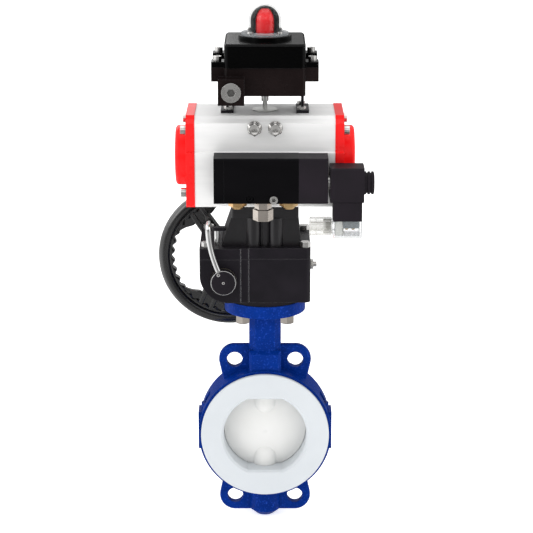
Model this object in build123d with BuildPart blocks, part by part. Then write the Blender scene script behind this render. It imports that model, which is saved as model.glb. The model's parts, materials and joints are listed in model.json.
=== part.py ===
"""Pneumatic butterfly valve, DN100 wafer pattern, with a declutchable gear override and a switch box.

Millimetres. The origin is where the pipe axis (Y) crosses the stem axis (Z). The front is -Y.
The pieces stand as with the disc closed and the worm in mesh.
"""

import os
from math import atan2, cos, degrees, pi, radians, sin, tan

from build123d import *

os.makedirs("parts", exist_ok=True)

# ---- fits ----
RUN = 0.05  # radial gap between a shaft and its bore
SLIP = 0.1  # gap round a seated part

# ---- pipe joint and valve body ----
PIPE_PCD = 180
PIPE_HOLE_R = 9
HOLE_X = PIPE_PCD / 2 * sin(radians(22.5))
HOLE_Z = PIPE_PCD / 2 * cos(radians(22.5))
BODY_R = 75.5
BODY_BORE_R = 52
BODY_HALF_W = 23.5
LUG_R = 18
LUG_HALF_T = 4.5
LUG_ROUND = 2.5
LUG_ROOT_Z = 56
LUG_ROOT_W = 92
LUG_ROOT_H = 8
NECK_W = 36
NECK_D = 34
NECK_Z0 = 60
NECK_FOOT_D = 42
NECK_FOOT_H = 38
FLANGE_R = 45.5
FLANGE_Z0 = 144
FLANGE_Z1 = 158
TOP_PCD_R = 35
TOP_BOLT_R = 4
TOP_BOLT_FLATS_R = 7.5
TOP_WASHER_H = 1.6
TOP_BOLT_HEAD_H = 8.5
TOP_BOLT_LENGTH = 26
BODY_SCREW_X = 66.5
BODY_SCREW_R = 4
BODY_SCREW_HEAD_R = 6.5
BODY_SCREW_HEAD_H = 8
BODY_SCREW_FOOT_Z = -18
BODY_PAD_X = 76.2
BODY_PAD_D = 24
BODY_PAD_Z = 22
BUSH_SPANS = ((-91, -56), (56, 98), (124, 150))
LOWER_LUG_Z = -99
LOWER_BOSS_Z = -105.4
STEM_R = 9
BUSH_R = 12
STEM_FOOT_Z = -90
STEM_SQUARE_Z = 152
STEM_SQUARE_H = 28

# ---- liner and disc ----
LINER_FACE_Y = 28
LINER_R = 72.75
BORE_R = 47.3
SEAT_FLAT_Z = 43
DISC_R = 46.8
DISC_RIM_HALF = 3.5
DISC_MID_HALF = 11.5
DISC_BULGE = DISC_MID_HALF - DISC_RIM_HALF
DISC_FACE_R = (DISC_R**2 + DISC_BULGE**2) / (2 * DISC_BULGE)
DISC_HUB_R = 14
DISC_HUB_END_Z = 31
LINER_LIP = 2.5

# ---- gearbox ----
GEAR_Z0 = 163
GEAR_SEAM_Z = 212.7
GEAR_TOP_Z = 225.1
GEAR_X0 = -71.9
GEAR_X1 = 50.2
GEAR_HALF_Y = 46
GEAR_STEPS = (  # x from, x to, half depth, corner radius
    (GEAR_X0, -26.7, GEAR_HALF_Y, 1.2),
    (-40, -17.9, 44.8, 1.2),
    (-30, GEAR_X1, 43.6, 6),
)
TUBE_CORNER_R = 32
CHAMBER_R = 36
CHAMBER_Z0 = 172
WORM_Z = 189
STOP_SCREW_Z = WORM_Z + 6
SLEEVE_X = -45.5
ECCENTRICITY = 4.5
SLEEVE_R = 17.2
SLEEVE_NOSE_R = 14
SLEEVE_NOSE_Y = -34
WINDOW_HALF_Y = 18
HUB_R = 20
HUB_Z0 = 160
HUB_Z1 = 222
SQUARE = 14

# ---- worm and wheel ----
WHEEL_TEETH = 36
WORM_MODULE = 1.75
WHEEL_PITCH_R = WORM_MODULE * WHEEL_TEETH / 2
WORM_PITCH_R = 9.5
WORM_X = -WHEEL_PITCH_R - WORM_PITCH_R
WORM_LEAD = pi * WORM_MODULE
WORM_TURNS = 5
TOOTH_W = 2.0
TOOTH_ADD = 1.4
TOOTH_DED = 1.7
TOOTH_FLANK = 25
WHEEL_FACE = 5
JOURNAL_R = 7

# ---- override lever, latch and handwheel ----
CAP_R = 13.9
CAP_Y0 = -56.5
LEVER_R = 3.2
LEVER_Y = -52
LEVER_ANGLE = 117
LEVER_BEND = 9
LATCH_X = -53
LATCH_Y = -30
LATCH_R = 2.8
LATCH_DEPTH = 9
LATCH_RISE = 17
WHEEL_R = 82
RIM_R = 72.5
RIM_HALF_Y = 8
HANDWHEEL_Y = 59
HANDWHEEL_HUB_R = 17
HANDWHEEL_HUB_Y0 = HANDWHEEL_Y - 12
HANDWHEEL_HUB_Y1 = HANDWHEEL_Y + 11
SPOKE_ANGLES = (125, 245, 5)

# ---- yoke and coupling ----
YOKE_X0 = -48
YOKE_X1 = 40
YOKE_TOP_HALF_X = 36.5
YOKE_HALF_Y = 33
YOKE_FLANGE_Z = 257.3
YOKE_BORE_R = 21.5
COUPLING_R = 13
COUPLING_Z0 = 184
COUPLING_Z1 = 285
COUPLING_BODY_H = 48

# ---- actuator ----
ACT_Z0 = 271.5
ACT_Z1 = 371
ACT_X = 76
ACT_STEP_Z = 332
ACT_LOWER_Y = 44
ACT_UPPER_Y = 42
CAP_X = 85.5
CAP_GROW = 0.7
BOSS_R = 33
BOSS_X = 98
BOSS_ROUND = 4
CYL_R = 38
CYL_Z = 320.5
CAP_SCREW_Y = 34
CAP_SCREW_Z = 34.5
CAP_SCREW_R = 3
CAP_SCREW_HEAD_R = 5
CAP_SCREW_HEAD_H = 6
PINION_MODULE = 2
PINION_TEETH = 16
PINION_PITCH_R = PINION_MODULE * PINION_TEETH / 2
PINION_FOOT_R = 19
PINION_NECK_R = 10
PINION_TOP_R = 14
RACK_ADD = 1.6
RACK_DED = 2.2
RACK_BACKLASH = 0.3
RACK_FLANK = 20
PISTON_X0 = 34
PISTON_X1 = 46
RACK_END = 31
RACK_HALF_Z = 11
RACK_BACK_Y = 29
CAM_Z0 = 354.5
CAM_Z1 = 363.5
TRAVEL_CAM_R = 17.5
TRAVEL_CAM_FROM = -17
TRAVEL_CAM_TO = 107
STOP_X = 11.2
STOP_Z = 359
STOP_R = 4

# ---- solenoid valve ----
BLOCK_X0 = -54.8
BLOCK_X1 = 36.3
PILOT_X1 = 67.6
BLOCK_Y0 = -75
BLOCK_Z0 = 282.9
BLOCK_Z1 = 332.4
END_PLATE_X = -43.8
END_PLATE_GROOVE = 0.6
SPOOL_Y = -60
SPOOL_Z = 305
SPOOL_R = 9
SPOOL_X0 = -43
SPOOL_X1 = 31
SPOOL_WAISTS = (-34, -17, 0, 17)
PORT_R = 6.5
SILENCER_X = (-29.5, 25.7)
INLET_X = -2
BLOCK_SCREW_R = 2.5
BLOCK_SCREW_HEAD_H = 4.5
BLOCK_SCREW_END_Y = -34
BLOCK_SCREW_SINK = 14
COIL_X0 = 69.7
COIL_X1 = 106.2
COIL_Y = -61
COIL_HALF_Y = 15
COIL_Z0 = 284
COIL_Z1 = 321.8
TUBE_Z = 303
TUBE_R = 6.5
ARMATURE_R = 5
COIL_THREAD_R = 4
COIL_NUT_R = 12.5
COIL_NUT_H = 11
DIN_X0 = 73
DIN_X1 = 104.4
DIN_Z1 = 263.5
DIN_Z0 = 245
GLAND_Z = 255
GLAND_R = 10.5
GLAND_L = 24
GLAND_BORE_R = 5
SPIGOT_R = 8
SPIGOT_L = 9

# ---- switch box ----
BOX_X = 43.5
BOX_Y = 45
BOX_Z0 = 393.7
BOX_SEAM_Z = 424
BOX_Z1 = 449.6
BOX_WALL = 3.5
BOX_LUG_X = 57.5
BOX_SCREW_X = 51
BOX_SCREW_Y = 30
BOX_SCREW_R = 2.5
BASE_EAR_D = 20
BASE_EAR_H = 15
LID_EAR_D = 18
LID_EAR_H = 6
EAR_ROOT = 8
ENTRY_X = -36
ENTRY_Z = 400.5
ENTRY_Y0 = -60
ENTRY_R = 9
ENTRY_BOSS_W = 28
BLANK_BOSS_Y = -28
BLANK_BOSS_W = 30
BLANK_BOSS_H = 18
BRACKET_X = 41
BRACKET_T = 3
BRACKET_TOP_D = 44
BRACKET_LEG_D = 16
BRACKET_FOOT_W = 14
BRACKET_FOOT_D = 42
BRACKET_BOLT_R = 2.5
FOOT_X = 40
FOOT_Y = 15
DOME_R = 17.7
DOME_Z0 = 454
DOME_Z1 = 487
DOME_WALL = 2
DOME_FLANGE_R = 25.8
DOME_FLANGE_H = 2.5
DOME_BASE_R = 29
DOME_SCREW_PCD_R = 22.5
DOME_SCREW_R = 1.5
DOME_SCREW_HEAD_R = 3
ROTOR_R = 14
CAM_LEVELS = ((404, 0), (411, 90))  # height, lobe angle
CAM_H = 5
SHAFT_R = 4
SWITCH_X = 25
SWITCH_LEVELS = (403, 410.5)
SWITCH_H = 6.5


def save(piece, name):
    """Names a finished piece and writes its file."""
    piece.part.label = name
    export_step(piece.part, f"parts/{name}.step")


def front(y):
    """Plane whose sketches read x right and z up, and whose extrusions run towards the front."""
    return Plane.XZ.offset(-y)


def side(x):
    """Plane whose sketches read y right and z up, and whose extrusions run towards +X."""
    return Plane.YZ.offset(x)


def level(z):
    """Horizontal plane at a height."""
    return Plane.XY.offset(z)


def corners(dx, dz):
    """The four corners of a rectangle about the origin."""
    return [(dx, dz), (-dx, dz), (-dx, -dz), (dx, -dz)]


# =====================================================================
# Valve body: one casting outline, parted at the pipe axis
# =====================================================================

# a pair of pipe bolt lugs, rounded front and back
with BuildPart() as upper_lugs:
    with BuildSketch(Plane.XZ):
        with Locations((HOLE_X, HOLE_Z), (-HOLE_X, HOLE_Z)):
            Circle(LUG_R)
        with Locations((0, LUG_ROOT_Z)):
            Rectangle(LUG_ROOT_W, LUG_ROOT_H)
        make_hull()
    extrude(amount=LUG_HALF_T, both=True)
    fillet(upper_lugs.faces().filter_by(Axis.Y).edges(), LUG_ROUND)
lower_lugs = mirror(upper_lugs.part, about=Plane.XY)

# the deeper foot of the neck, sloped back to the neck at its top
with BuildPart() as neck_foot:
    with BuildSketch(level(NECK_Z0)):
        outline = Rectangle(NECK_W, NECK_FOOT_D)
        chamfer(outline.vertices(), 3)
    extrude(amount=NECK_FOOT_H)
    foot_top = neck_foot.faces().sort_by(Axis.Z)[-1]
    chamfer(foot_top.edges().filter_by(Axis.X), (NECK_FOOT_D - NECK_D) / 2 - 0.2)

with BuildPart() as casting:
    with BuildSketch(Plane.XZ):
        Circle(BODY_R)
    extrude(amount=BODY_HALF_W, both=True)
    with BuildSketch(level(-BODY_PAD_Z)):
        Rectangle(2 * BODY_PAD_X, BODY_PAD_D)
    extrude(amount=2 * BODY_PAD_Z)
    add(upper_lugs.part)
    add(lower_lugs)
    with BuildSketch(level(NECK_Z0)):
        neck = Rectangle(NECK_W, NECK_D)
        chamfer(neck.vertices(), 7)
    extrude(amount=FLANGE_Z0 - NECK_Z0 + 1)
    add(neck_foot.part)
    with BuildSketch(level(FLANGE_Z0)):
        Circle(FLANGE_R)
    extrude(amount=FLANGE_Z1 - FLANGE_Z0)
    with BuildSketch(level(-NECK_Z0)):
        Circle(NECK_W / 2)
    extrude(amount=LOWER_LUG_Z + NECK_Z0)
    with BuildSketch(Plane(origin=(0, 0, LOWER_LUG_Z), z_dir=(0, 0, -1))):
        Circle(NECK_W / 2)
    extrude(amount=LOWER_LUG_Z - LOWER_BOSS_Z, taper=50)
    # bore, pipe bolt holes, stem bore, flange bolt holes
    with BuildSketch(Plane.XZ):
        Circle(BODY_BORE_R)
        with Locations(*corners(HOLE_X, HOLE_Z)):
            Circle(PIPE_HOLE_R)
    extrude(amount=BODY_HALF_W + 10, both=True, mode=Mode.SUBTRACT)
    with BuildSketch(level(STEM_FOOT_Z - 2)):
        Circle(BUSH_R + RUN)
    extrude(amount=FLANGE_Z1 - STEM_FOOT_Z + 4, mode=Mode.SUBTRACT)
    with BuildSketch(level(FLANGE_Z0 - 1)):
        with PolarLocations(TOP_PCD_R, 4, start_angle=45):
            Circle(4.5)
    extrude(amount=FLANGE_Z1 - FLANGE_Z0 + 2, mode=Mode.SUBTRACT)
    # screws that hold the halves together
    with BuildSketch(Plane.XY):
        with Locations((BODY_SCREW_X, 0), (-BODY_SCREW_X, 0)):
            Circle(BODY_SCREW_R + 0.4)
    extrude(amount=BODY_PAD_Z + 1, mode=Mode.SUBTRACT)
    with BuildSketch(level(BODY_PAD_Z)):
        with Locations((BODY_SCREW_X, 0), (-BODY_SCREW_X, 0)):
            Circle(BODY_SCREW_HEAD_R + 1.5)
    extrude(amount=20, mode=Mode.SUBTRACT)
    with BuildSketch(level(BODY_SCREW_FOOT_Z - 2)):
        with Locations((BODY_SCREW_X, 0), (-BODY_SCREW_X, 0)):
            Circle(BODY_SCREW_R + RUN)
    extrude(amount=3 - BODY_SCREW_FOOT_Z, mode=Mode.SUBTRACT)

with BuildPart() as valve_body_upper:
    add(casting.part)
    split(bisect_by=Plane.XY, keep=Keep.TOP)
save(valve_body_upper, "valve_body_upper")

with BuildPart() as valve_body_lower:
    add(casting.part)
    split(bisect_by=Plane.XY, keep=Keep.BOTTOM)
save(valve_body_lower, "valve_body_lower")

with BuildPart() as body_screws:
    with BuildSketch(level(BODY_SCREW_FOOT_Z)):
        with Locations((BODY_SCREW_X, 0), (-BODY_SCREW_X, 0)):
            Circle(BODY_SCREW_R)
    extrude(amount=BODY_PAD_Z - BODY_SCREW_FOOT_Z)
    with BuildSketch(level(BODY_PAD_Z)):
        with Locations((BODY_SCREW_X, 0), (-BODY_SCREW_X, 0)):
            Circle(BODY_SCREW_HEAD_R)
    extrude(amount=BODY_SCREW_HEAD_H)
    with BuildSketch(level(BODY_PAD_Z + BODY_SCREW_HEAD_H)):
        with Locations((BODY_SCREW_X, 0), (-BODY_SCREW_X, 0)):
            RegularPolygon(3, 6, major_radius=False)
    extrude(amount=-4, mode=Mode.SUBTRACT)
save(body_screws, "body_screws")

with BuildPart() as flange_bolts:
    with BuildSketch(level(FLANGE_Z0)):
        with PolarLocations(TOP_PCD_R, 4, start_angle=45):
            Circle(TOP_BOLT_FLATS_R + 1)
    extrude(amount=-TOP_WASHER_H)
    with BuildSketch(level(FLANGE_Z0 - TOP_WASHER_H)):
        with PolarLocations(TOP_PCD_R, 4, start_angle=45):
            RegularPolygon(TOP_BOLT_FLATS_R, 6, major_radius=False)
    extrude(amount=-TOP_BOLT_HEAD_H)
    with BuildSketch(level(FLANGE_Z0)):
        with PolarLocations(TOP_PCD_R, 4, start_angle=45):
            Circle(TOP_BOLT_R)
    extrude(amount=TOP_BOLT_LENGTH)
save(flange_bolts, "flange_bolts")

# =====================================================================
# Liner, disc and stem
# =====================================================================

with BuildPart() as seat_liner:
    with BuildSketch(Plane.XZ):
        Circle(BODY_BORE_R - SLIP)
    extrude(amount=LINER_FACE_Y, both=True)
    for plane in (front(-BODY_HALF_W), front(BODY_HALF_W).reverse()):
        with BuildSketch(plane):
            Circle(LINER_R)
        extrude(amount=LINER_FACE_Y - BODY_HALF_W)
    chamfer(seat_liner.edges().filter_by(GeomType.CIRCLE).filter_by(lambda e: e.radius > LINER_R - 1), 0.8)
    with BuildSketch(Plane.XZ):
        Circle(BORE_R)
        Rectangle(2 * BORE_R, 2 * SEAT_FLAT_Z, mode=Mode.INTERSECT)
    extrude(amount=LINER_FACE_Y + 1, both=True, mode=Mode.SUBTRACT)
    for face in (seat_liner.faces().sort_by(Axis.Y)[0], seat_liner.faces().sort_by(Axis.Y)[-1]):
        chamfer(face.inner_wires()[0].edges(), LINER_LIP)
    with BuildSketch(level(-BODY_BORE_R - 1)):
        Circle(STEM_R + SLIP)
    extrude(amount=2 * BODY_BORE_R + 2, mode=Mode.SUBTRACT)
save(seat_liner, "seat_liner")

with BuildPart() as valve_disc:
    with BuildSketch(Plane.XY):
        with BuildLine():
            Line((0, -DISC_MID_HALF), (0, DISC_MID_HALF))
            RadiusArc((0, DISC_MID_HALF), (DISC_R, DISC_RIM_HALF), DISC_FACE_R)
            Line((DISC_R, DISC_RIM_HALF), (DISC_R, -DISC_RIM_HALF))
            RadiusArc((DISC_R, -DISC_RIM_HALF), (0, -DISC_MID_HALF), DISC_FACE_R)
        make_face()
    revolve(axis=Axis.Y)
    # a hub at the top and one at the bottom, each with a round end towards the middle
    for end in (1, -1):
        with BuildSketch(level(end * DISC_HUB_END_Z)):
            Circle(DISC_HUB_R)
        extrude(amount=end * (SEAT_FLAT_Z - SLIP - DISC_HUB_END_Z))
        with Locations((0, 0, end * DISC_HUB_END_Z)):
            Sphere(DISC_HUB_R)
    with BuildSketch(Plane.XZ):
        Rectangle(2 * BORE_R, 2 * (SEAT_FLAT_Z - SLIP))
    extrude(amount=DISC_R, both=True, mode=Mode.INTERSECT)
    with BuildSketch(level(-SEAT_FLAT_Z)):
        Circle(STEM_R + 0.02)
    extrude(amount=2 * SEAT_FLAT_Z, mode=Mode.SUBTRACT)
save(valve_disc, "valve_disc")

with BuildPart() as stem:
    with BuildSketch(level(STEM_FOOT_Z)):
        Circle(STEM_R)
    extrude(amount=STEM_SQUARE_Z - STEM_FOOT_Z)
    with BuildSketch(level(STEM_SQUARE_Z)):
        Circle(STEM_R)
        Rectangle(SQUARE, SQUARE, mode=Mode.INTERSECT)
    extrude(amount=STEM_SQUARE_H)
save(stem, "stem")

with BuildPart() as stem_bushes:
    for z0, z1 in BUSH_SPANS:
        with BuildSketch(level(z0)):
            Circle(BUSH_R)
            Circle(STEM_R + RUN, mode=Mode.SUBTRACT)
        extrude(amount=z1 - z0)
save(stem_bushes, "stem_bushes")

# =====================================================================
# Gearbox
# =====================================================================


def gear_outline(plane, height):
    """The plan outline of the gearbox, as a block: it steps back from the worm side to the wheel side."""
    with BuildPart() as block:
        with BuildSketch(plane):
            for x0, x1, half_y, corner in GEAR_STEPS:
                with Locations(((x0 + x1) / 2, 0)):
                    RectangleRounded(x1 - x0, 2 * half_y, corner)
        extrude(amount=height)
    return block.part


COVER_BOLTS = [(-64, 38), (-64, -38), (44.5, 37), (44.5, -37)]

with BuildPart() as gearbox_housing:
    add(gear_outline(level(GEAR_Z0), GEAR_SEAM_Z - GEAR_Z0))
    # the worm side is rounded below, along its whole depth
    with BuildSketch(Plane.XZ):
        with BuildLine():
            Line((GEAR_X0 - 1, GEAR_Z0 - 1), (GEAR_X0 + TUBE_CORNER_R, GEAR_Z0 - 1))
            Line((GEAR_X0 + TUBE_CORNER_R, GEAR_Z0 - 1), (GEAR_X0 + TUBE_CORNER_R, GEAR_Z0))
            RadiusArc(
                (GEAR_X0 + TUBE_CORNER_R, GEAR_Z0), (GEAR_X0, GEAR_Z0 + TUBE_CORNER_R), TUBE_CORNER_R
            )
            Line((GEAR_X0, GEAR_Z0 + TUBE_CORNER_R), (GEAR_X0 - 1, GEAR_Z0 + TUBE_CORNER_R))
            Line((GEAR_X0 - 1, GEAR_Z0 + TUBE_CORNER_R), (GEAR_X0 - 1, GEAR_Z0 - 1))
        make_face()
    extrude(amount=GEAR_HALF_Y + 1, both=True, mode=Mode.SUBTRACT)
    # round pad on the valve's top flange
    with BuildSketch(level(FLANGE_Z1)):
        Circle(FLANGE_R - 1)
    extrude(amount=GEAR_Z0 - FLANGE_Z1)
    # wheel chamber, hub bearing and flange bolt threads
    with BuildSketch(level(CHAMBER_Z0)):
        Circle(CHAMBER_R)
    extrude(amount=GEAR_SEAM_Z - CHAMBER_Z0 + 1, mode=Mode.SUBTRACT)
    with BuildSketch(level(FLANGE_Z1 - 1)):
        Circle(HUB_R + RUN)
    extrude(amount=CHAMBER_Z0 - FLANGE_Z1 + 2, mode=Mode.SUBTRACT)
    with BuildSketch(level(FLANGE_Z1 - 1)):
        with PolarLocations(TOP_PCD_R, 4, start_angle=45):
            Circle(TOP_BOLT_R + RUN)
    extrude(amount=TOP_BOLT_LENGTH - FLANGE_Z1 + FLANGE_Z0 + 1.5, mode=Mode.SUBTRACT)
    # bore of the eccentric sleeve
    with BuildSketch(front(GEAR_HALF_Y + 1)):
        with Locations((SLEEVE_X, WORM_Z)):
            Circle(SLEEVE_R + SLIP)
    extrude(amount=GEAR_HALF_Y + 1 - SLEEVE_NOSE_Y + SLIP, mode=Mode.SUBTRACT)
    with BuildSketch(front(GEAR_HALF_Y + 1)):
        with Locations((SLEEVE_X, WORM_Z)):
            Circle(SLEEVE_NOSE_R + SLIP)
    extrude(amount=2 * GEAR_HALF_Y + 2, mode=Mode.SUBTRACT)
    # cover bolt threads
    with BuildSketch(level(GEAR_SEAM_Z - 8)):
        with Locations(*COVER_BOLTS):
            Circle(3 + RUN)
    extrude(amount=9, mode=Mode.SUBTRACT)
    # stop screw threads
    with BuildSketch(side(CHAMBER_R - 4)):
        with Locations((0, STOP_SCREW_Z)):
            Circle(3 + RUN)
    extrude(amount=20, mode=Mode.SUBTRACT)
save(gearbox_housing, "gearbox_housing")

with BuildPart() as gearbox_cover:
    add(gear_outline(level(GEAR_SEAM_Z), GEAR_TOP_Z - GEAR_SEAM_Z))
    with BuildSketch(level(GEAR_SEAM_Z - 1)):
        Circle(HUB_R + RUN)
        with Locations(*COVER_BOLTS):
            Circle(3.3)
        with PolarLocations(TOP_PCD_R, 4, start_angle=45):
            Circle(3.3)
    extrude(amount=GEAR_TOP_Z - GEAR_SEAM_Z + 2, mode=Mode.SUBTRACT)
    with BuildSketch(level(GEAR_SEAM_Z)):
        with PolarLocations(TOP_PCD_R, 4, start_angle=45):
            Circle(5.3)
    extrude(amount=6.5, mode=Mode.SUBTRACT)
    with BuildSketch(level(GEAR_TOP_Z)):
        with Locations((LATCH_X, LATCH_Y)):
            Circle(LATCH_R + SLIP)
    extrude(amount=-LATCH_DEPTH - 1, mode=Mode.SUBTRACT)
save(gearbox_cover, "gearbox_cover")

with BuildPart() as cover_bolts:
    with BuildSketch(level(GEAR_TOP_Z)):
        with Locations(*COVER_BOLTS):
            RegularPolygon(5, 6, major_radius=False)
    extrude(amount=6)
    with BuildSketch(level(GEAR_TOP_Z)):
        with Locations(*COVER_BOLTS):
            Circle(3)
    extrude(amount=GEAR_SEAM_Z - GEAR_TOP_Z - 7)
save(cover_bolts, "cover_bolts")

with BuildPart() as stop_screw:
    with BuildSketch(side(CHAMBER_R - 2)):
        with Locations((0, STOP_SCREW_Z)):
            Circle(3)
    extrude(amount=24)
    with BuildSketch(side(GEAR_X1)):
        with Locations((0, STOP_SCREW_Z)):
            RegularPolygon(5, 6, major_radius=False)
    extrude(amount=4)
save(stop_screw, "stop_screw")

# =====================================================================
# Worm wheel, worm and eccentric sleeve
# =====================================================================

flank = tan(radians(TOOTH_FLANK))
root_half = TOOTH_W / 2 + TOOTH_DED * flank
tip_half = TOOTH_W / 2 - TOOTH_ADD * flank

with BuildPart() as worm_wheel:
    with BuildSketch(level(HUB_Z0)):
        Circle(HUB_R)
    extrude(amount=HUB_Z1 - HUB_Z0)
    with BuildSketch(level(WORM_Z - WHEEL_FACE / 2)):
        Circle(WHEEL_PITCH_R - TOOTH_DED)
        with PolarLocations(0, WHEEL_TEETH, start_angle=180 / WHEEL_TEETH):
            Polygon(
                (WHEEL_PITCH_R - TOOTH_DED - 1, -root_half),
                (WHEEL_PITCH_R - TOOTH_DED, -root_half),
                (WHEEL_PITCH_R + TOOTH_ADD, -tip_half),
                (WHEEL_PITCH_R + TOOTH_ADD, tip_half),
                (WHEEL_PITCH_R - TOOTH_DED, root_half),
                (WHEEL_PITCH_R - TOOTH_DED - 1, root_half),
                align=None,
            )
    extrude(amount=WHEEL_FACE)
    with BuildSketch(level(HUB_Z0 - 1)):
        Rectangle(SQUARE + 2 * RUN, SQUARE + 2 * RUN)
    extrude(amount=HUB_Z1 - HUB_Z0 + 2, mode=Mode.SUBTRACT)
save(worm_wheel, "worm_wheel")

thread_length = WORM_LEAD * WORM_TURNS
thread_path = Helix(WORM_LEAD, thread_length, WORM_PITCH_R, direction=(0, 1, 0))
mid_point = thread_path @ 0.5
start_point = thread_path @ 0
start_radial = Vector(start_point.X, 0, start_point.Z).normalized()
thread_plane = Plane(origin=start_point, x_dir=start_radial, z_dir=thread_path % 0)
with BuildPart() as thread:
    with BuildSketch(thread_plane):
        Polygon(
            (-TOOTH_DED - 0.4, -root_half),
            (TOOTH_ADD, -tip_half),
            (TOOTH_ADD, tip_half),
            (-TOOTH_DED - 0.4, root_half),
            align=None,
        )
    sweep(path=thread_path, is_frenet=True)

# turned so that the thread's middle faces the wheel, halfway along the worm
turn = degrees(atan2(mid_point.Z, mid_point.X))
thread_in_place = Pos(WORM_X, -thread_length / 2, WORM_Z) * Rot(0, turn, 0) * thread.part

with BuildPart() as worm_shaft:
    with BuildSketch(front(-40)):
        with Locations((WORM_X, WORM_Z)):
            Circle(JOURNAL_R)
    extrude(amount=-(HANDWHEEL_HUB_Y1 + 40))
    with BuildSketch(front(-16)):
        with Locations((WORM_X, WORM_Z)):
            Circle(WORM_PITCH_R - TOOTH_DED)
    extrude(amount=-32)
    add(thread_in_place)
    with BuildSketch(front(HANDWHEEL_HUB_Y1)):
        with Locations((WORM_X, WORM_Z)):
            Circle(5)
    extrude(amount=-12)
save(worm_shaft, "worm_shaft")

with BuildPart() as eccentric_sleeve:
    with BuildSketch(front(GEAR_HALF_Y)):
        with Locations((SLEEVE_X, WORM_Z)):
            Circle(SLEEVE_R)
    extrude(amount=GEAR_HALF_Y - SLEEVE_NOSE_Y)
    with BuildSketch(front(SLEEVE_NOSE_Y)):
        with Locations((SLEEVE_X, WORM_Z)):
            Circle(SLEEVE_NOSE_R)
    extrude(amount=SLEEVE_NOSE_Y + GEAR_HALF_Y + 1.2)
    with BuildSketch(front(WINDOW_HALF_Y)):
        with Locations((WORM_X, WORM_Z)):
            Circle(WORM_PITCH_R + TOOTH_ADD + 0.4)
    extrude(amount=2 * WINDOW_HALF_Y, mode=Mode.SUBTRACT)
    with BuildSketch(front(GEAR_HALF_Y + 1)):
        with Locations((WORM_X, WORM_Z)):
            Circle(JOURNAL_R + RUN)
    extrude(amount=GEAR_HALF_Y + 1 + 40.5, mode=Mode.SUBTRACT)
    # window towards the wheel, open over the whole swing of the sleeve
    with BuildSketch(front(WINDOW_HALF_Y)):
        with Locations((SLEEVE_X + 1, WORM_Z)):
            Polygon(
                (0, 0),
                (40 * cos(radians(25)), 40 * sin(radians(25))),
                (40, -10),
                (10, -40),
                (40 * cos(radians(245)), 40 * sin(radians(245))),
                align=None,
            )
    extrude(amount=2 * WINDOW_HALF_Y, mode=Mode.SUBTRACT)
save(eccentric_sleeve, "eccentric_sleeve")

# =====================================================================
# Sleeve cap, declutch lever and latch
# =====================================================================

CAP_BACK_Y = -GEAR_HALF_Y - 1.2

lever_dir = Vector(cos(radians(LEVER_ANGLE)), 0, sin(radians(LEVER_ANGLE)))
lever_foot = Vector(SLEEVE_X, LEVER_Y, WORM_Z) + lever_dir * 6
lever_bend = Vector(SLEEVE_X, LEVER_Y, WORM_Z) + lever_dir * 34
lever_plane = Plane(origin=lever_foot, z_dir=lever_dir)

with BuildPart() as sleeve_cap:
    with BuildSketch(front(CAP_BACK_Y)):
        with Locations((SLEEVE_X, WORM_Z)):
            Circle(CAP_R)
    extrude(amount=CAP_BACK_Y - CAP_Y0)
    chamfer(sleeve_cap.faces().sort_by(Axis.Y)[0].edges(), 0.8)
    # the lever's socket
    with BuildSketch(lever_plane):
        Circle(LEVER_R + RUN)
    extrude(amount=CAP_R, mode=Mode.SUBTRACT)
save(sleeve_cap, "sleeve_cap")

with BuildPart() as declutch_lever:
    with BuildLine():
        FilletPolyline(
            lever_foot,
            lever_bend,
            (lever_bend.X - 1, LEVER_Y, WORM_Z + 62),
            (lever_bend.X, LEVER_Y + 10, WORM_Z + 66),
            radius=LEVER_BEND,
        )
    with BuildSketch(lever_plane):
        Circle(LEVER_R)
    sweep()
save(declutch_lever, "declutch_lever")

with BuildPart() as latch_pin:
    with BuildSketch(level(GEAR_TOP_Z - LATCH_DEPTH)):
        with Locations((LATCH_X, LATCH_Y)):
            Circle(LATCH_R)
    extrude(amount=LATCH_DEPTH + LATCH_RISE)
save(latch_pin, "latch_pin")

with BuildPart() as latch_bar:
    with BuildSketch(level(GEAR_TOP_Z + LATCH_RISE)):
        with Locations((LATCH_X + 2.5, LATCH_Y)):
            SlotOverall(15, 8)
    extrude(amount=4)
save(latch_bar, "latch_bar")

# =====================================================================
# Handwheel
# =====================================================================

with BuildPart() as handwheel:
    with BuildSketch(Plane(origin=(WORM_X, HANDWHEEL_Y, WORM_Z), x_dir=(1, 0, 0), z_dir=(0, 0, 1))):
        with Locations((RIM_R, 0)):
            RectangleRounded(2 * (WHEEL_R - RIM_R), 2 * RIM_HALF_Y, 7)
    revolve(axis=Axis((WORM_X, HANDWHEEL_Y, WORM_Z), (0, 1, 0)))
    for angle in SPOKE_ANGLES:
        spoke_dir = (cos(radians(angle)), 0, sin(radians(angle)))
        spoke_plane = Plane(origin=(WORM_X, HANDWHEEL_Y, WORM_Z), x_dir=(0, 1, 0), z_dir=spoke_dir)
        with BuildSketch(spoke_plane.offset(6)):
            spoke = Rectangle(10, 15)
            fillet(spoke.vertices(), 3)
        extrude(amount=RIM_R - 6)
    with BuildSketch(front(HANDWHEEL_HUB_Y1)):
        with Locations((WORM_X, WORM_Z)):
            Circle(HANDWHEEL_HUB_R)
    extrude(amount=HANDWHEEL_HUB_Y1 - HANDWHEEL_HUB_Y0)
    with BuildSketch(front(HANDWHEEL_HUB_Y1 + 1)):
        with Locations((WORM_X, WORM_Z)):
            Circle(JOURNAL_R + RUN)
    extrude(amount=HANDWHEEL_HUB_Y1 - HANDWHEEL_HUB_Y0 + 2, mode=Mode.SUBTRACT)
save(handwheel, "handwheel")

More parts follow.
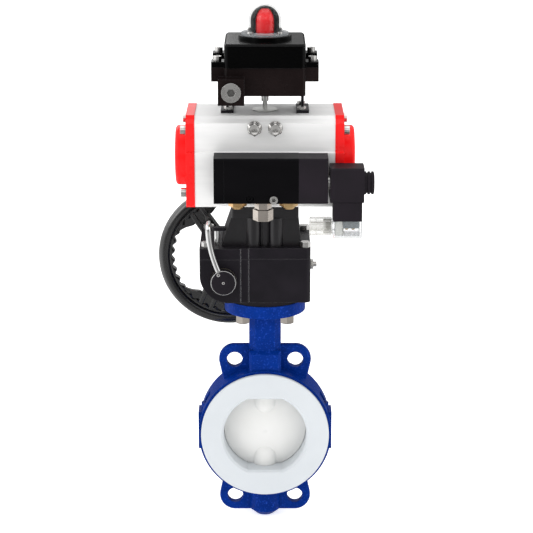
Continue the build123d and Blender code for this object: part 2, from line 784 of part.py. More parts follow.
with BuildPart() as handwheel_nut:
    with BuildSketch(front(HANDWHEEL_HUB_Y1)):
        with Locations((WORM_X, WORM_Z)):
            Circle(11)
    extrude(amount=-1.6)
    with BuildSketch(front(HANDWHEEL_HUB_Y1 + 1.6)):
        with Locations((WORM_X, WORM_Z)):
            RegularPolygon(8, 6, major_radius=False)
    extrude(amount=-8)
    with BuildSketch(front(HANDWHEEL_HUB_Y1)):
        with Locations((WORM_X, WORM_Z)):
            Circle(5 + RUN)
    extrude(amount=-10, mode=Mode.SUBTRACT)
save(handwheel_nut, "handwheel_nut")

# =====================================================================
# Yoke and coupling shaft
# =====================================================================

with BuildPart() as yoke:
    with BuildSketch(level(GEAR_TOP_Z)):
        with Locations(((YOKE_X0 + YOKE_X1) / 2, 0)):
            Rectangle(YOKE_X1 - YOKE_X0, 2 * YOKE_HALF_Y)
    with BuildSketch(level(YOKE_FLANGE_Z + 1)):
        Rectangle(2 * YOKE_TOP_HALF_X, 2 * YOKE_HALF_Y)
    loft()
    with BuildSketch(level(YOKE_FLANGE_Z)):
        plate = Rectangle(2 * YOKE_TOP_HALF_X + 1, 2 * YOKE_HALF_Y + 6)
        fillet(plate.vertices(), 3)
    extrude(amount=ACT_Z0 - YOKE_FLANGE_Z)
    with BuildSketch(level(GEAR_TOP_Z)):
        with Locations((-12.5, -YOKE_HALF_Y + 4), (12, -YOKE_HALF_Y + 4)):
            Circle(9)
        with Locations((0, -YOKE_HALF_Y)):
            Rectangle(4, 7)
    extrude(amount=YOKE_FLANGE_Z - GEAR_TOP_Z)
    with BuildSketch(level(GEAR_TOP_Z - 1)):
        Circle(YOKE_BORE_R)
    extrude(amount=ACT_Z0 - GEAR_TOP_Z + 2, mode=Mode.SUBTRACT)
    with BuildSketch(level(GEAR_TOP_Z - 1)):
        with PolarLocations(TOP_PCD_R, 4, start_angle=45):
            Circle(3 + RUN)
    extrude(amount=17, mode=Mode.SUBTRACT)
    with BuildSketch(level(ACT_Z0 - 12)):
        with PolarLocations(TOP_PCD_R, 4, start_angle=45):
            Circle(4 + RUN)
    extrude(amount=14, mode=Mode.SUBTRACT)
save(yoke, "yoke")

with BuildPart() as yoke_screws:
    with BuildSketch(level(GEAR_SEAM_Z)):
        with PolarLocations(TOP_PCD_R, 4, start_angle=45):
            Circle(5)
    extrude(amount=6)
    with BuildSketch(level(GEAR_SEAM_Z)):
        with PolarLocations(TOP_PCD_R, 4, start_angle=45):
            Circle(3)
    extrude(amount=26)
    with BuildSketch(level(ACT_Z0 - 11)):
        with PolarLocations(TOP_PCD_R, 4, start_angle=45):
            Circle(4)
    extrude(amount=24)
save(yoke_screws, "yoke_screws")

with BuildPart() as coupling_shaft:
    with BuildSketch(level(COUPLING_Z0)):
        Circle(STEM_R)
        Rectangle(SQUARE, SQUARE, mode=Mode.INTERSECT)
    extrude(amount=COUPLING_Z1 - COUPLING_Z0)
    with BuildSketch(level(HUB_Z1 + 0.5)):
        Circle(COUPLING_R)
    extrude(amount=COUPLING_BODY_H)
save(coupling_shaft, "coupling_shaft")

# =====================================================================
# Actuator: extruded body, end caps, pistons and pinion
# =====================================================================


def actuator_section(plane, grow):
    """The extrusion's section as a face: a wider lower half for the valve face and sloped shoulders."""
    low = ACT_LOWER_Y + grow
    high = ACT_UPPER_Y + grow
    with BuildSketch(plane) as section:
        with BuildLine():
            Polyline(
                (low - 2, ACT_Z0),
                (low, ACT_Z0 + 2),
                (low, ACT_STEP_Z),
                (high, ACT_STEP_Z + 1),
                (high, ACT_Z1 - 7),
                (high - 5, ACT_Z1 - 3.5),
                (high - 8, ACT_Z1 + grow),
                (8 - high, ACT_Z1 + grow),
                (5 - high, ACT_Z1 - 3.5),
                (-high, ACT_Z1 - 7),
                (-high, ACT_STEP_Z + 1),
                (-low, ACT_STEP_Z),
                (-low, ACT_Z0 + 2),
                (2 - low, ACT_Z0),
                close=True,
            )
        make_face()
    return section.sketch


CAP_SCREWS = [(y, CYL_Z + z) for y, z in corners(CAP_SCREW_Y, CAP_SCREW_Z)]
NAMUR_PORTS = [(-14, SPOOL_Z), (10, SPOOL_Z)]
BLOCK_SCREWS = [(9.5, 288), (-16, 288)]
BRACKET_BOLTS = corners(FOOT_X, FOOT_Y)

with BuildPart() as actuator_body:
    extrude(actuator_section(side(-ACT_X), 0), amount=2 * ACT_X)
    with BuildSketch(side(-ACT_X - 1)):
        with Locations((0, CYL_Z)):
            Circle(CYL_R)
    extrude(amount=2 * ACT_X + 2, mode=Mode.SUBTRACT)
    # pinion bearings and the pocket of the travel cam
    with BuildSketch(level(ACT_Z0 - 1)):
        Circle(PINION_FOOT_R + RUN)
    extrude(amount=30, mode=Mode.SUBTRACT)
    with BuildSketch(level(ACT_Z1 + 1)):
        Circle(PINION_TOP_R + RUN)
    extrude(amount=-20, mode=Mode.SUBTRACT)
    with BuildSketch(level(CAM_Z0 - 10)):
        Circle(19)
    extrude(amount=CAM_Z1 + 1 - CAM_Z0 + 10, mode=Mode.SUBTRACT)
    # threads of the end cap screws, the yoke studs, the bracket bolts and the travel stops
    for x0 in (-ACT_X - 1, ACT_X - 17):
        with BuildSketch(side(x0)):
            with Locations(*CAP_SCREWS):
                Circle(CAP_SCREW_R + RUN)
        extrude(amount=18, mode=Mode.SUBTRACT)
    with BuildSketch(level(ACT_Z0 - 1)):
        with PolarLocations(TOP_PCD_R, 4, start_angle=45):
            Circle(4 + RUN)
    extrude(amount=14.5, mode=Mode.SUBTRACT)
    with BuildSketch(level(ACT_Z1 + 1)):
        with Locations(*BRACKET_BOLTS):
            Circle(BRACKET_BOLT_R + RUN)
    extrude(amount=-9, mode=Mode.SUBTRACT)
    with BuildSketch(front(-5)):
        with Locations((STOP_X, STOP_Z), (-STOP_X, STOP_Z)):
            Circle(STOP_R + RUN)
    extrude(amount=ACT_UPPER_Y, mode=Mode.SUBTRACT)
    # air ports and screw threads of the solenoid valve
    with BuildSketch(front(-30)):
        with Locations(*NAMUR_PORTS):
            Circle(3.5)
        with Locations(*BLOCK_SCREWS):
            Circle(BLOCK_SCREW_R + RUN)
    extrude(amount=ACT_LOWER_Y, mode=Mode.SUBTRACT)
save(actuator_body, "actuator_body")

with BuildPart() as end_cap_right:
    extrude(actuator_section(side(ACT_X), CAP_GROW), amount=CAP_X - ACT_X)
    with BuildSketch(Plane.XZ):
        with BuildLine():
            Polyline(
                (BOSS_X - BOSS_ROUND, CYL_Z + BOSS_R),
                (CAP_X - 1, CYL_Z + BOSS_R),
                (CAP_X - 1, CYL_Z),
                (BOSS_X + 1, CYL_Z),
            )
            ThreePointArc(
                (BOSS_X + 1, CYL_Z), (BOSS_X + 0.7, CYL_Z + BOSS_R / 2), (BOSS_X, CYL_Z + BOSS_R - BOSS_ROUND)
            )
            RadiusArc(
                (BOSS_X, CYL_Z + BOSS_R - BOSS_ROUND), (BOSS_X - BOSS_ROUND, CYL_Z + BOSS_R), -BOSS_ROUND
            )
        make_face()
    revolve(axis=Axis((0, 0, CYL_Z), (1, 0, 0)))
    with BuildSketch(side(ACT_X - 1)):
        with Locations(*CAP_SCREWS):
            Circle(CAP_SCREW_R + 0.3)
    extrude(amount=CAP_X - ACT_X + 2, mode=Mode.SUBTRACT)
save(end_cap_right, "end_cap_right")

with BuildPart() as end_cap_left:
    add(mirror(end_cap_right.part, about=Plane.YZ, mode=Mode.PRIVATE))
save(end_cap_left, "end_cap_left")

with BuildPart() as cap_screws:
    for x_face, out in ((CAP_X, 1), (-CAP_X, -1)):
        with BuildSketch(side(x_face)):
            with Locations(*CAP_SCREWS):
                Circle(CAP_SCREW_HEAD_R)
        extrude(amount=CAP_SCREW_HEAD_H * out)
        with BuildSketch(side(x_face)):
            with Locations(*CAP_SCREWS):
                Circle(CAP_SCREW_R)
        extrude(amount=-(CAP_X - ACT_X + 15) * out)
        with BuildSketch(side(x_face + CAP_SCREW_HEAD_H * out)):
            with Locations(*CAP_SCREWS):
                RegularPolygon(2.5, 6, major_radius=False)
        extrude(amount=-3 * out, mode=Mode.SUBTRACT)
save(cap_screws, "cap_screws")

rack_pitch = pi * PINION_MODULE
rack_slope = tan(radians(RACK_FLANK))
rack_half = rack_pitch / 4 - RACK_BACKLASH / 2

# The right-hand piston: its rack runs along the front of the pinion, teeth towards +Y.
with BuildPart() as piston_right:
    with BuildSketch(side(PISTON_X0)):
        with Locations((0, CYL_Z)):
            Circle(CYL_R - 0.3)
    extrude(amount=PISTON_X1 - PISTON_X0)
    with BuildSketch(side(PISTON_X0 + 4)):
        with Locations((0, CYL_Z)):
            Circle(CYL_R)
            Circle(CYL_R - 3, mode=Mode.SUBTRACT)
    extrude(amount=4, mode=Mode.SUBTRACT)
    arm_mid_x = (PISTON_X0 - RACK_END) / 2
    arm_front_y = -PINION_PITCH_R - RACK_DED
    with BuildSketch(level(CYL_Z - RACK_HALF_Z)):
        with Locations((arm_mid_x, (arm_front_y - RACK_BACK_Y) / 2)):
            Rectangle(PISTON_X0 + RACK_END, RACK_BACK_Y + arm_front_y)
        for k in range(-4, 2):
            # a tooth stands under each gap of the pinion
            with Locations((k * rack_pitch + rack_pitch / 2, -PINION_PITCH_R)):
                Polygon(
                    (-rack_half - RACK_DED * rack_slope, -RACK_DED),
                    (-rack_half + RACK_ADD * rack_slope, RACK_ADD),
                    (rack_half - RACK_ADD * rack_slope, RACK_ADD),
                    (rack_half + RACK_DED * rack_slope, -RACK_DED),
                    align=None,
                )
    extrude(amount=2 * RACK_HALF_Z)
save(piston_right, "piston_right")

opposite_piston = Rot(0, 0, 180) * piston_right.part
with BuildPart() as piston_left:
    add(opposite_piston)
save(piston_left, "piston_left")

with BuildPart() as piston_seal_right:
    with BuildSketch(side(PISTON_X0 + 4)):
        with Locations((0, CYL_Z)):
            Circle(CYL_R - RUN)
            Circle(CYL_R - 3, mode=Mode.SUBTRACT)
    extrude(amount=4)
save(piston_seal_right, "piston_seal_right")

opposite_seal = Rot(0, 0, 180) * piston_seal_right.part
with BuildPart() as piston_seal_left:
    add(opposite_seal)
save(piston_seal_left, "piston_seal_left")

# Pinion teeth cut as the racks' own trapezium would, narrowed towards the tip.
pinion_root_r = PINION_PITCH_R - RACK_DED
pinion_tip_r = PINION_PITCH_R + RACK_ADD
pinion_root_half = rack_half + 0.2
pinion_tip_half = 0.62
cam_from = Vector(40, 0).rotate(Axis.Z, TRAVEL_CAM_FROM)
cam_to = Vector(40, 0).rotate(Axis.Z, TRAVEL_CAM_TO)

with BuildPart() as pinion:
    with BuildSketch(level(ACT_Z0 + 0.5)):
        Circle(PINION_FOOT_R)
    extrude(amount=CYL_Z - RACK_HALF_Z - 5 - ACT_Z0)
    with BuildSketch(level(CYL_Z - RACK_HALF_Z - 5)):
        Circle(pinion_root_r)
        with PolarLocations(0, PINION_TEETH, start_angle=90):
            Polygon(
                (pinion_root_r - 1, -pinion_root_half),
                (pinion_root_r + 0.4, -pinion_root_half),
                (PINION_PITCH_R, -rack_half),
                (pinion_tip_r, -pinion_tip_half),
                (pinion_tip_r, pinion_tip_half),
                (PINION_PITCH_R, rack_half),
                (pinion_root_r + 0.4, pinion_root_half),
                (pinion_root_r - 1, pinion_root_half),
                align=None,
            )
    extrude(amount=2 * RACK_HALF_Z + 10)
    with BuildSketch(level(CYL_Z + RACK_HALF_Z)):
        Circle(PINION_NECK_R)
    extrude(amount=CAM_Z1 - CYL_Z - RACK_HALF_Z)
    with BuildSketch(level(CAM_Z0)):
        Circle(TRAVEL_CAM_R)
        with BuildLine():
            Polyline((0, 0), cam_from, (40, 40), cam_to, close=True)
        make_face(mode=Mode.INTERSECT)
    extrude(amount=CAM_Z1 - CAM_Z0)
    with BuildSketch(level(CAM_Z1)):
        Circle(PINION_TOP_R)
    extrude(amount=ACT_Z1 + 1 - CAM_Z1)
    with BuildSketch(level(ACT_Z0)):
        Rectangle(SQUARE + 2 * RUN, SQUARE + 2 * RUN)
    extrude(amount=15, mode=Mode.SUBTRACT)
    with BuildSketch(level(ACT_Z1 + 1)):
        Rectangle(5.1, 5.1)
    extrude(amount=-8, mode=Mode.SUBTRACT)
save(pinion, "pinion")

with BuildPart() as travel_stops:
    with BuildSketch(front(-8)):
        with Locations((STOP_X, STOP_Z), (-STOP_X, STOP_Z)):
            Circle(STOP_R)
    extrude(amount=40)
    with BuildSketch(front(-ACT_UPPER_Y)):
        with Locations((STOP_X, STOP_Z), (-STOP_X, STOP_Z)):
            RegularPolygon(7.2, 6, major_radius=False)
    extrude(amount=6)
    with BuildSketch(front(-ACT_UPPER_Y - 6)):
        with Locations((STOP_X, STOP_Z), (-STOP_X, STOP_Z)):
            RegularPolygon(6.5, 6, major_radius=False)
    extrude(amount=6)
save(travel_stops, "travel_stops")

# =====================================================================
# Solenoid valve
# =====================================================================

with BuildPart() as valve_block:
    with BuildSketch(level(BLOCK_Z0)):
        with Locations(((BLOCK_X0 + BLOCK_X1) / 2, (BLOCK_Y0 - ACT_LOWER_Y) / 2)):
            Rectangle(BLOCK_X1 - BLOCK_X0, -BLOCK_Y0 - ACT_LOWER_Y)
    extrude(amount=BLOCK_Z1 - BLOCK_Z0)
    chamfer(valve_block.edges().filter_by(Axis.X).sort_by(Axis.Y)[:2], 1)
    # joint of the end plate, as a shallow groove
    with BuildSketch(front(BLOCK_Y0 + END_PLATE_GROOVE)):
        with Locations((END_PLATE_X, (BLOCK_Z0 + BLOCK_Z1) / 2)):
            Rectangle(END_PLATE_GROOVE, BLOCK_Z1 - BLOCK_Z0)
    extrude(amount=END_PLATE_GROOVE, mode=Mode.SUBTRACT)
    with BuildSketch(side(SPOOL_X0 - 1)):
        with Locations((SPOOL_Y, SPOOL_Z)):
            Circle(SPOOL_R + RUN)
    extrude(amount=BLOCK_X1 - SPOOL_X0 + 2, mode=Mode.SUBTRACT)
    with BuildSketch(level(BLOCK_Z0 - 1)):
        with Locations(*[(x, SPOOL_Y) for x in (*SILENCER_X, INLET_X)]):
            Circle(PORT_R + RUN)
    extrude(amount=13, mode=Mode.SUBTRACT)
    with BuildSketch(level(BLOCK_Z0)):
        with Locations(*[(x, SPOOL_Y) for x in (*SILENCER_X, INLET_X)]):
            Circle(4)
    extrude(amount=SPOOL_Z - BLOCK_Z0, mode=Mode.SUBTRACT)
    with BuildSketch(front(-ACT_LOWER_Y + 1)):
        with Locations(*NAMUR_PORTS):
            Circle(3.5)
    extrude(amount=-SPOOL_Y - ACT_LOWER_Y + 1, mode=Mode.SUBTRACT)
    with BuildSketch(front(-ACT_LOWER_Y + 1)):
        with Locations(*BLOCK_SCREWS):
            Circle(BLOCK_SCREW_R + 0.2)
    extrude(amount=-BLOCK_Y0 - ACT_LOWER_Y + 2, mode=Mode.SUBTRACT)
    with BuildSketch(front(BLOCK_Y0)):
        with Locations(BLOCK_SCREWS[1]):
            Circle(4.4)
    extrude(amount=-BLOCK_SCREW_SINK, mode=Mode.SUBTRACT)
save(valve_block, "valve_block")

with BuildPart() as block_screws:
    for (x, z), head_y in zip(BLOCK_SCREWS, (BLOCK_Y0, BLOCK_Y0 + BLOCK_SCREW_SINK)):
        with BuildSketch(front(head_y)):
            with Locations((x, z)):
                Circle(4.25)
        extrude(amount=BLOCK_SCREW_HEAD_H)
        with BuildSketch(front(head_y)):
            with Locations((x, z)):
                Circle(BLOCK_SCREW_R)
        extrude(amount=head_y - BLOCK_SCREW_END_Y)
        with BuildSketch(front(head_y - BLOCK_SCREW_HEAD_H)):
            with Locations((x, z)):
                RegularPolygon(2, 6, major_radius=False)
        extrude(amount=-2.5, mode=Mode.SUBTRACT)
save(block_screws, "block_screws")

with BuildPart() as spool:
    with BuildSketch(side(SPOOL_X0)):
        with Locations((SPOOL_Y, SPOOL_Z)):
            Circle(SPOOL_R)
    extrude(amount=SPOOL_X1 - SPOOL_X0)
    for x in SPOOL_WAISTS:
        with BuildSketch(side(x)):
            with Locations((SPOOL_Y, SPOOL_Z)):
                Circle(SPOOL_R + 1)
                Circle(5.5, mode=Mode.SUBTRACT)
        extrude(amount=9, mode=Mode.SUBTRACT)
save(spool, "spool")

with BuildPart() as pilot_body:
    with BuildSketch(level(BLOCK_Z0)):
        with Locations(((BLOCK_X1 + PILOT_X1) / 2, (BLOCK_Y0 - ACT_LOWER_Y - 2) / 2)):
            Rectangle(PILOT_X1 - BLOCK_X1, -BLOCK_Y0 - ACT_LOWER_Y - 2)
    extrude(amount=BLOCK_Z1 - BLOCK_Z0)
    chamfer(pilot_body.edges().filter_by(Axis.X).sort_by(Axis.Y)[:2], 1)
    with BuildSketch(side(PILOT_X1 - 8)):
        with Locations((COIL_Y, TUBE_Z)):
            Circle(TUBE_R + RUN)
    extrude(amount=9, mode=Mode.SUBTRACT)
save(pilot_body, "pilot_body")

with BuildPart() as armature_tube:
    with BuildSketch(side(PILOT_X1 - 8)):
        with Locations((COIL_Y, TUBE_Z)):
            Circle(TUBE_R)
    extrude(amount=COIL_X1 - PILOT_X1 + 8)
    with BuildSketch(side(COIL_X1)):
        with Locations((COIL_Y, TUBE_Z)):
            Circle(COIL_THREAD_R)
    extrude(amount=10)
    with BuildSketch(side(PILOT_X1 - 9)):
        with Locations((COIL_Y, TUBE_Z)):
            Circle(ARMATURE_R)
    extrude(amount=36, mode=Mode.SUBTRACT)
save(armature_tube, "armature_tube")

with BuildPart() as armature:
    with BuildSketch(side(PILOT_X1 - 4)):
        with Locations((COIL_Y, TUBE_Z)):
            Circle(ARMATURE_R - RUN)
    extrude(amount=28)
save(armature, "armature")

with BuildPart() as coil:
    with BuildSketch(side(COIL_X0)):
        with Locations((COIL_Y, (COIL_Z0 + COIL_Z1) / 2)):
            cube = Rectangle(2 * COIL_HALF_Y, COIL_Z1 - COIL_Z0)
        fillet(cube.vertices(), 2)
        with Locations((COIL_Y, TUBE_Z)):
            Circle(TUBE_R + SLIP, mode=Mode.SUBTRACT)
    extrude(amount=COIL_X1 - COIL_X0)
save(coil, "coil")

with BuildPart() as coil_nut:
    for k in range(3):
        with BuildSketch(side(COIL_X1 + 4 * k)):
            with Locations((COIL_Y, TUBE_Z)):
                Circle(COIL_NUT_R)
        extrude(amount=2.4)
    with BuildSketch(side(COIL_X1)):
        with Locations((COIL_Y, TUBE_Z)):
            Circle(COIL_NUT_R - 1.5)
    extrude(amount=COIL_NUT_H)
    with BuildSketch(side(COIL_X1)):
        with Locations((COIL_Y, TUBE_Z)):
            Circle(COIL_THREAD_R + RUN)
    extrude(amount=10.2, mode=Mode.SUBTRACT)
save(coil_nut, "coil_nut")

DIN_MID_X = (DIN_X0 + DIN_X1) / 2

with BuildPart() as din_base:
    with BuildSketch(level(DIN_Z1)):
        with Locations((DIN_MID_X, COIL_Y)):
            base = Rectangle(DIN_X1 - DIN_X0, 2 * COIL_HALF_Y - 2)
        fillet(base.vertices(), 2)
    extrude(amount=COIL_Z0 - DIN_Z1)
save(din_base, "din_base")

with BuildPart() as din_housing:
    with BuildSketch(level(DIN_Z0)):
        with Locations((DIN_MID_X, COIL_Y)):
            clear = Rectangle(DIN_X1 - DIN_X0, 2 * COIL_HALF_Y - 2)
        fillet(clear.vertices(), 2)
    extrude(amount=DIN_Z1 - DIN_Z0)
    with BuildSketch(level(DIN_Z0 + 2)):
        with Locations((DIN_MID_X, COIL_Y)):
            Rectangle(DIN_X1 - DIN_X0 - 5, 2 * COIL_HALF_Y - 7)
    extrude(amount=DIN_Z1 - DIN_Z0, mode=Mode.SUBTRACT)
    with BuildSketch(side(DIN_X0)):
        with Locations((COIL_Y, GLAND_Z)):
            Circle(SPIGOT_R)
    extrude(amount=-SPIGOT_L)
    with BuildSketch(side(DIN_X0 - SPIGOT_L - 1)):
        with Locations((COIL_Y, GLAND_Z)):
            Circle(GLAND_BORE_R)
    extrude(amount=SPIGOT_L + 4, mode=Mode.SUBTRACT)
save(din_housing, "din_housing")

with BuildPart() as gland_nut:
    with BuildSketch(side(DIN_X0 - 1)):
        with Locations((COIL_Y, GLAND_Z)):
            Circle(GLAND_R)
    extrude(amount=-GLAND_L)
    with BuildSketch(side(DIN_X0)):
        with Locations((COIL_Y, GLAND_Z)):
            Circle(SPIGOT_R + SLIP)
    extrude(amount=-SPIGOT_L - 1, mode=Mode.SUBTRACT)
    with BuildSketch(side(DIN_X0 - SPIGOT_L)):
        with Locations((COIL_Y, GLAND_Z)):
            Circle(GLAND_BORE_R)
    extrude(amount=SPIGOT_L - GLAND_L - 2, mode=Mode.SUBTRACT)
save(gland_nut, "gland_nut")

with BuildPart() as silencers:
    for x in SILENCER_X:
        with BuildSketch(level(BLOCK_Z0)):
            with Locations((x, SPOOL_Y)):
                Circle(PORT_R)
        extrude(amount=10)
        with BuildSketch(level(BLOCK_Z0)):
            with Locations((x, SPOOL_Y)):
                RegularPolygon(8.6, 6, major_radius=False)
        extrude(amount=-5.5)
        with BuildSketch(Plane(origin=(x, SPOOL_Y, BLOCK_Z0 - 5.5), z_dir=(0, 0, -1))):
            Circle(7.5)
        extrude(amount=3, taper=35)
save(silencers, "silencers")

with BuildPart() as inlet_fitting:
    with BuildSketch(level(BLOCK_Z0 - 5)):
        with Locations((INLET_X, SPOOL_Y)):
            Circle(PORT_R)
    extrude(amount=15)
    with BuildSketch(level(BLOCK_Z0 - 0.5)):
        with Locations((INLET_X, SPOOL_Y)):
            RegularPolygon(8, 6, major_radius=False)
    extrude(amount=-8)
    with BuildSketch(level(BLOCK_Z0 - 9)):
        with Locations((INLET_X, SPOOL_Y)):
            RegularPolygon(9.5, 6, major_radius=False)
    extrude(amount=-12)
    with BuildSketch(level(BLOCK_Z0 - 5)):
        with Locations((INLET_X, SPOOL_Y)):
            Circle(6)
    extrude(amount=-6)
    with BuildSketch(level(BLOCK_Z0 - 22)):
        with Locations((INLET_X, SPOOL_Y)):
            Circle(4)
    extrude(amount=33, mode=Mode.SUBTRACT)
save(inlet_fitting, "inlet_fitting")

# =====================================================================
# Switch box
# =====================================================================

with BuildPart() as switch_bracket:
    with BuildSketch(level(BOX_Z0 - BRACKET_T)):
        Rectangle(2 * BRACKET_X + BRACKET_T, BRACKET_TOP_D)
    extrude(amount=BRACKET_T)
    for x in (BRACKET_X, -BRACKET_X):
        with BuildSketch(level(ACT_Z1)):
            with Locations((x, 0)):
                Rectangle(BRACKET_T, BRACKET_LEG_D)
        extrude(amount=BOX_Z0 - ACT_Z1)
        with BuildSketch(level(ACT_Z1)):
            with Locations((x, 0)):
                Rectangle(BRACKET_FOOT_W, BRACKET_FOOT_D)
        extrude(amount=BRACKET_T)
    with BuildSketch(level(ACT_Z1 - 1)):
        with Locations(*BRACKET_BOLTS):
            Circle(BRACKET_BOLT_R + 0.2)
    extrude(amount=5, mode=Mode.SUBTRACT)
    with BuildSketch(level(BOX_Z0 - 4)):
        Circle(8)
    extrude(amount=5, mode=Mode.SUBTRACT)
save(switch_bracket, "switch_bracket")

with BuildPart() as bracket_bolts:
    with BuildSketch(level(ACT_Z1 + BRACKET_T)):
        with Locations(*BRACKET_BOLTS):
            RegularPolygon(4, 6, major_radius=False)
    extrude(amount=3.5)
    with BuildSketch(level(ACT_Z1 + BRACKET_T)):
        with Locations(*BRACKET_BOLTS):
            Circle(BRACKET_BOLT_R)
    extrude(amount=-10)
save(bracket_bolts, "bracket_bolts")

LUG_PLACES = corners(BOX_SCREW_X, BOX_SCREW_Y)

with BuildPart() as switch_base:
    with BuildSketch(level(BOX_Z0)):
        floor = Rectangle(2 * BOX_X, 2 * BOX_Y - 4)
        fillet(floor.vertices(), 4)
    extrude(amount=BOX_SEAM_Z - BOX_Z0)
    with BuildSketch(level(BOX_SEAM_Z - BASE_EAR_H)):
        with Locations(*LUG_PLACES):
            Rectangle(2 * (BOX_LUG_X - BOX_SCREW_X), BASE_EAR_D)
        with Locations((BOX_X + 1, BOX_SCREW_Y), (BOX_X + 1, -BOX_SCREW_Y)):
            Rectangle(EAR_ROOT, BASE_EAR_D)
        with Locations((-BOX_X - 1, BOX_SCREW_Y), (-BOX_X - 1, -BOX_SCREW_Y)):
            Rectangle(EAR_ROOT, BASE_EAR_D)
    extrude(amount=BASE_EAR_H)
    with BuildSketch(level(ENTRY_Z - ENTRY_BOSS_W / 2)):
        with Locations((ENTRY_X, (ENTRY_Y0 - BOX_Y + 6) / 2)):
            Rectangle(ENTRY_BOSS_W, -ENTRY_Y0 - BOX_Y + 6)
    extrude(amount=ENTRY_BOSS_W)
    # blank boss of a second entry, on the left side
    with BuildSketch(level(BOX_Z0 + 1)):
        with Locations((-BOX_X - 1.5, BLANK_BOSS_Y)):
            Rectangle(6, BLANK_BOSS_W)
    extrude(amount=BLANK_BOSS_H)
    with BuildSketch(level(BOX_Z0 + 4)):
        Rectangle(2 * (BOX_X - BOX_WALL), 2 * (BOX_Y - 2 - BOX_WALL))
    extrude(amount=BOX_SEAM_Z - BOX_Z0, mode=Mode.SUBTRACT)
    with BuildSketch(front(-BOX_Y + 10)):
        with Locations((ENTRY_X, ENTRY_Z)):
            Circle(ENTRY_R + RUN)
    extrude(amount=-ENTRY_Y0 - BOX_Y + 11, mode=Mode.SUBTRACT)
    with BuildSketch(level(BOX_Z0 - 1)):
        Circle(SHAFT_R + RUN)
    extrude(amount=6, mode=Mode.SUBTRACT)
    with BuildSketch(level(BOX_SEAM_Z - 13)):
        with Locations(*LUG_PLACES):
            Circle(BOX_SCREW_R + RUN)
    extrude(amount=14, mode=Mode.SUBTRACT)
save(switch_base, "switch_base")

with BuildPart() as switch_lid:
    with BuildSketch(level(BOX_SEAM_Z)):
        roof = Rectangle(2 * BOX_X, 2 * BOX_Y)
        fillet(roof.vertices(), 5)
    extrude(amount=BOX_Z1 - BOX_SEAM_Z)
    chamfer(switch_lid.faces().sort_by(Axis.Z)[-1].edges(), 2)
    with BuildSketch(level(BOX_SEAM_Z)):
        with Locations(*LUG_PLACES):
            Rectangle(2 * (BOX_LUG_X - BOX_SCREW_X), LID_EAR_D)
        with Locations((BOX_X + 1, BOX_SCREW_Y), (BOX_X + 1, -BOX_SCREW_Y)):
            Rectangle(EAR_ROOT, LID_EAR_D)
        with Locations((-BOX_X - 1, BOX_SCREW_Y), (-BOX_X - 1, -BOX_SCREW_Y)):
            Rectangle(EAR_ROOT, LID_EAR_D)
    extrude(amount=LID_EAR_H)
    with BuildSketch(level(BOX_SEAM_Z - 1)):
        Rectangle(2 * (BOX_X - BOX_WALL), 2 * (BOX_Y - BOX_WALL))
    extrude(amount=BOX_Z1 - BOX_SEAM_Z - 3, mode=Mode.SUBTRACT)
    with BuildSketch(level(BOX_Z1 - 6)):
        Circle(SHAFT_R + RUN)
    extrude(amount=10, mode=Mode.SUBTRACT)
    with BuildSketch(level(BOX_SEAM_Z - 1)):
        with Locations(*LUG_PLACES):
            Circle(BOX_SCREW_R + 0.2)
    extrude(amount=8, mode=Mode.SUBTRACT)
    with BuildSketch(level(BOX_Z1 - 6)):
        with PolarLocations(DOME_SCREW_PCD_R, 4, start_angle=45):
            Circle(DOME_SCREW_R + RUN)
    extrude(amount=8, mode=Mode.SUBTRACT)
save(switch_lid, "switch_lid")

with BuildPart() as lid_screws:
    with BuildSketch(level(BOX_SEAM_Z + LID_EAR_H)):
        with Locations(*LUG_PLACES):
            Circle(4.5)
    extrude(amount=5)
    with BuildSketch(level(BOX_SEAM_Z + LID_EAR_H)):
        with Locations(*LUG_PLACES):
            Circle(BOX_SCREW_R)
    extrude(amount=-18)
    with BuildSketch(level(BOX_SEAM_Z + LID_EAR_H + 5)):
        with Locations(*LUG_PLACES):
            RegularPolygon(2, 6, major_radius=False)
    extrude(amount=-2.5, mode=Mode.SUBTRACT)
save(lid_screws, "lid_screws")

with BuildPart() as entry_plug:
    with BuildSketch(front(ENTRY_Y0)):
        with Locations((ENTRY_X, ENTRY_Z)):
            Circle(10.5)
    extrude(amount=2.5)
    with BuildSketch(front(ENTRY_Y0)):
        with Locations((ENTRY_X, ENTRY_Z)):
            Circle(ENTRY_R)
    extrude(amount=-10)
    with BuildSketch(front(ENTRY_Y0 - 2.5)):
        with Locations((ENTRY_X, ENTRY_Z)):
            RegularPolygon(4, 6, major_radius=False)
    extrude(amount=-5, mode=Mode.SUBTRACT)
save(entry_plug, "entry_plug")

SHAFT_FOOT_Z = ACT_Z1 - 6

with BuildPart() as switch_shaft:
    with BuildSketch(level(SHAFT_FOOT_Z)):
        Rectangle(5, 5)
    extrude(amount=7)
    with BuildSketch(level(SHAFT_FOOT_Z + 7)):
        Circle(2.5)
    extrude(amount=9)
    with BuildSketch(level(SHAFT_FOOT_Z + 16)):
        Circle(SHAFT_R)
    extrude(amount=BOX_Z1 + 4 - SHAFT_FOOT_Z - 16)
save(switch_shaft, "switch_shaft")

with BuildPart() as switch_cams:
    for z, lobe in CAM_LEVELS:
        with BuildSketch(level(z)):
            Circle(11)
            with PolarLocations(9, 1, start_angle=lobe + 200):
                Circle(4)
            Circle(SHAFT_R + 0.02, mode=Mode.SUBTRACT)
        extrude(amount=CAM_H)
save(switch_cams, "switch_cams")

with BuildPart() as microswitches:
    for z in SWITCH_LEVELS:
        with BuildSketch(level(z)):
            with Locations((SWITCH_X, 0)):
                Rectangle(17, 24)
        extrude(amount=SWITCH_H)
save(microswitches, "microswitches")

# =====================================================================
# Indicator dome
# =====================================================================

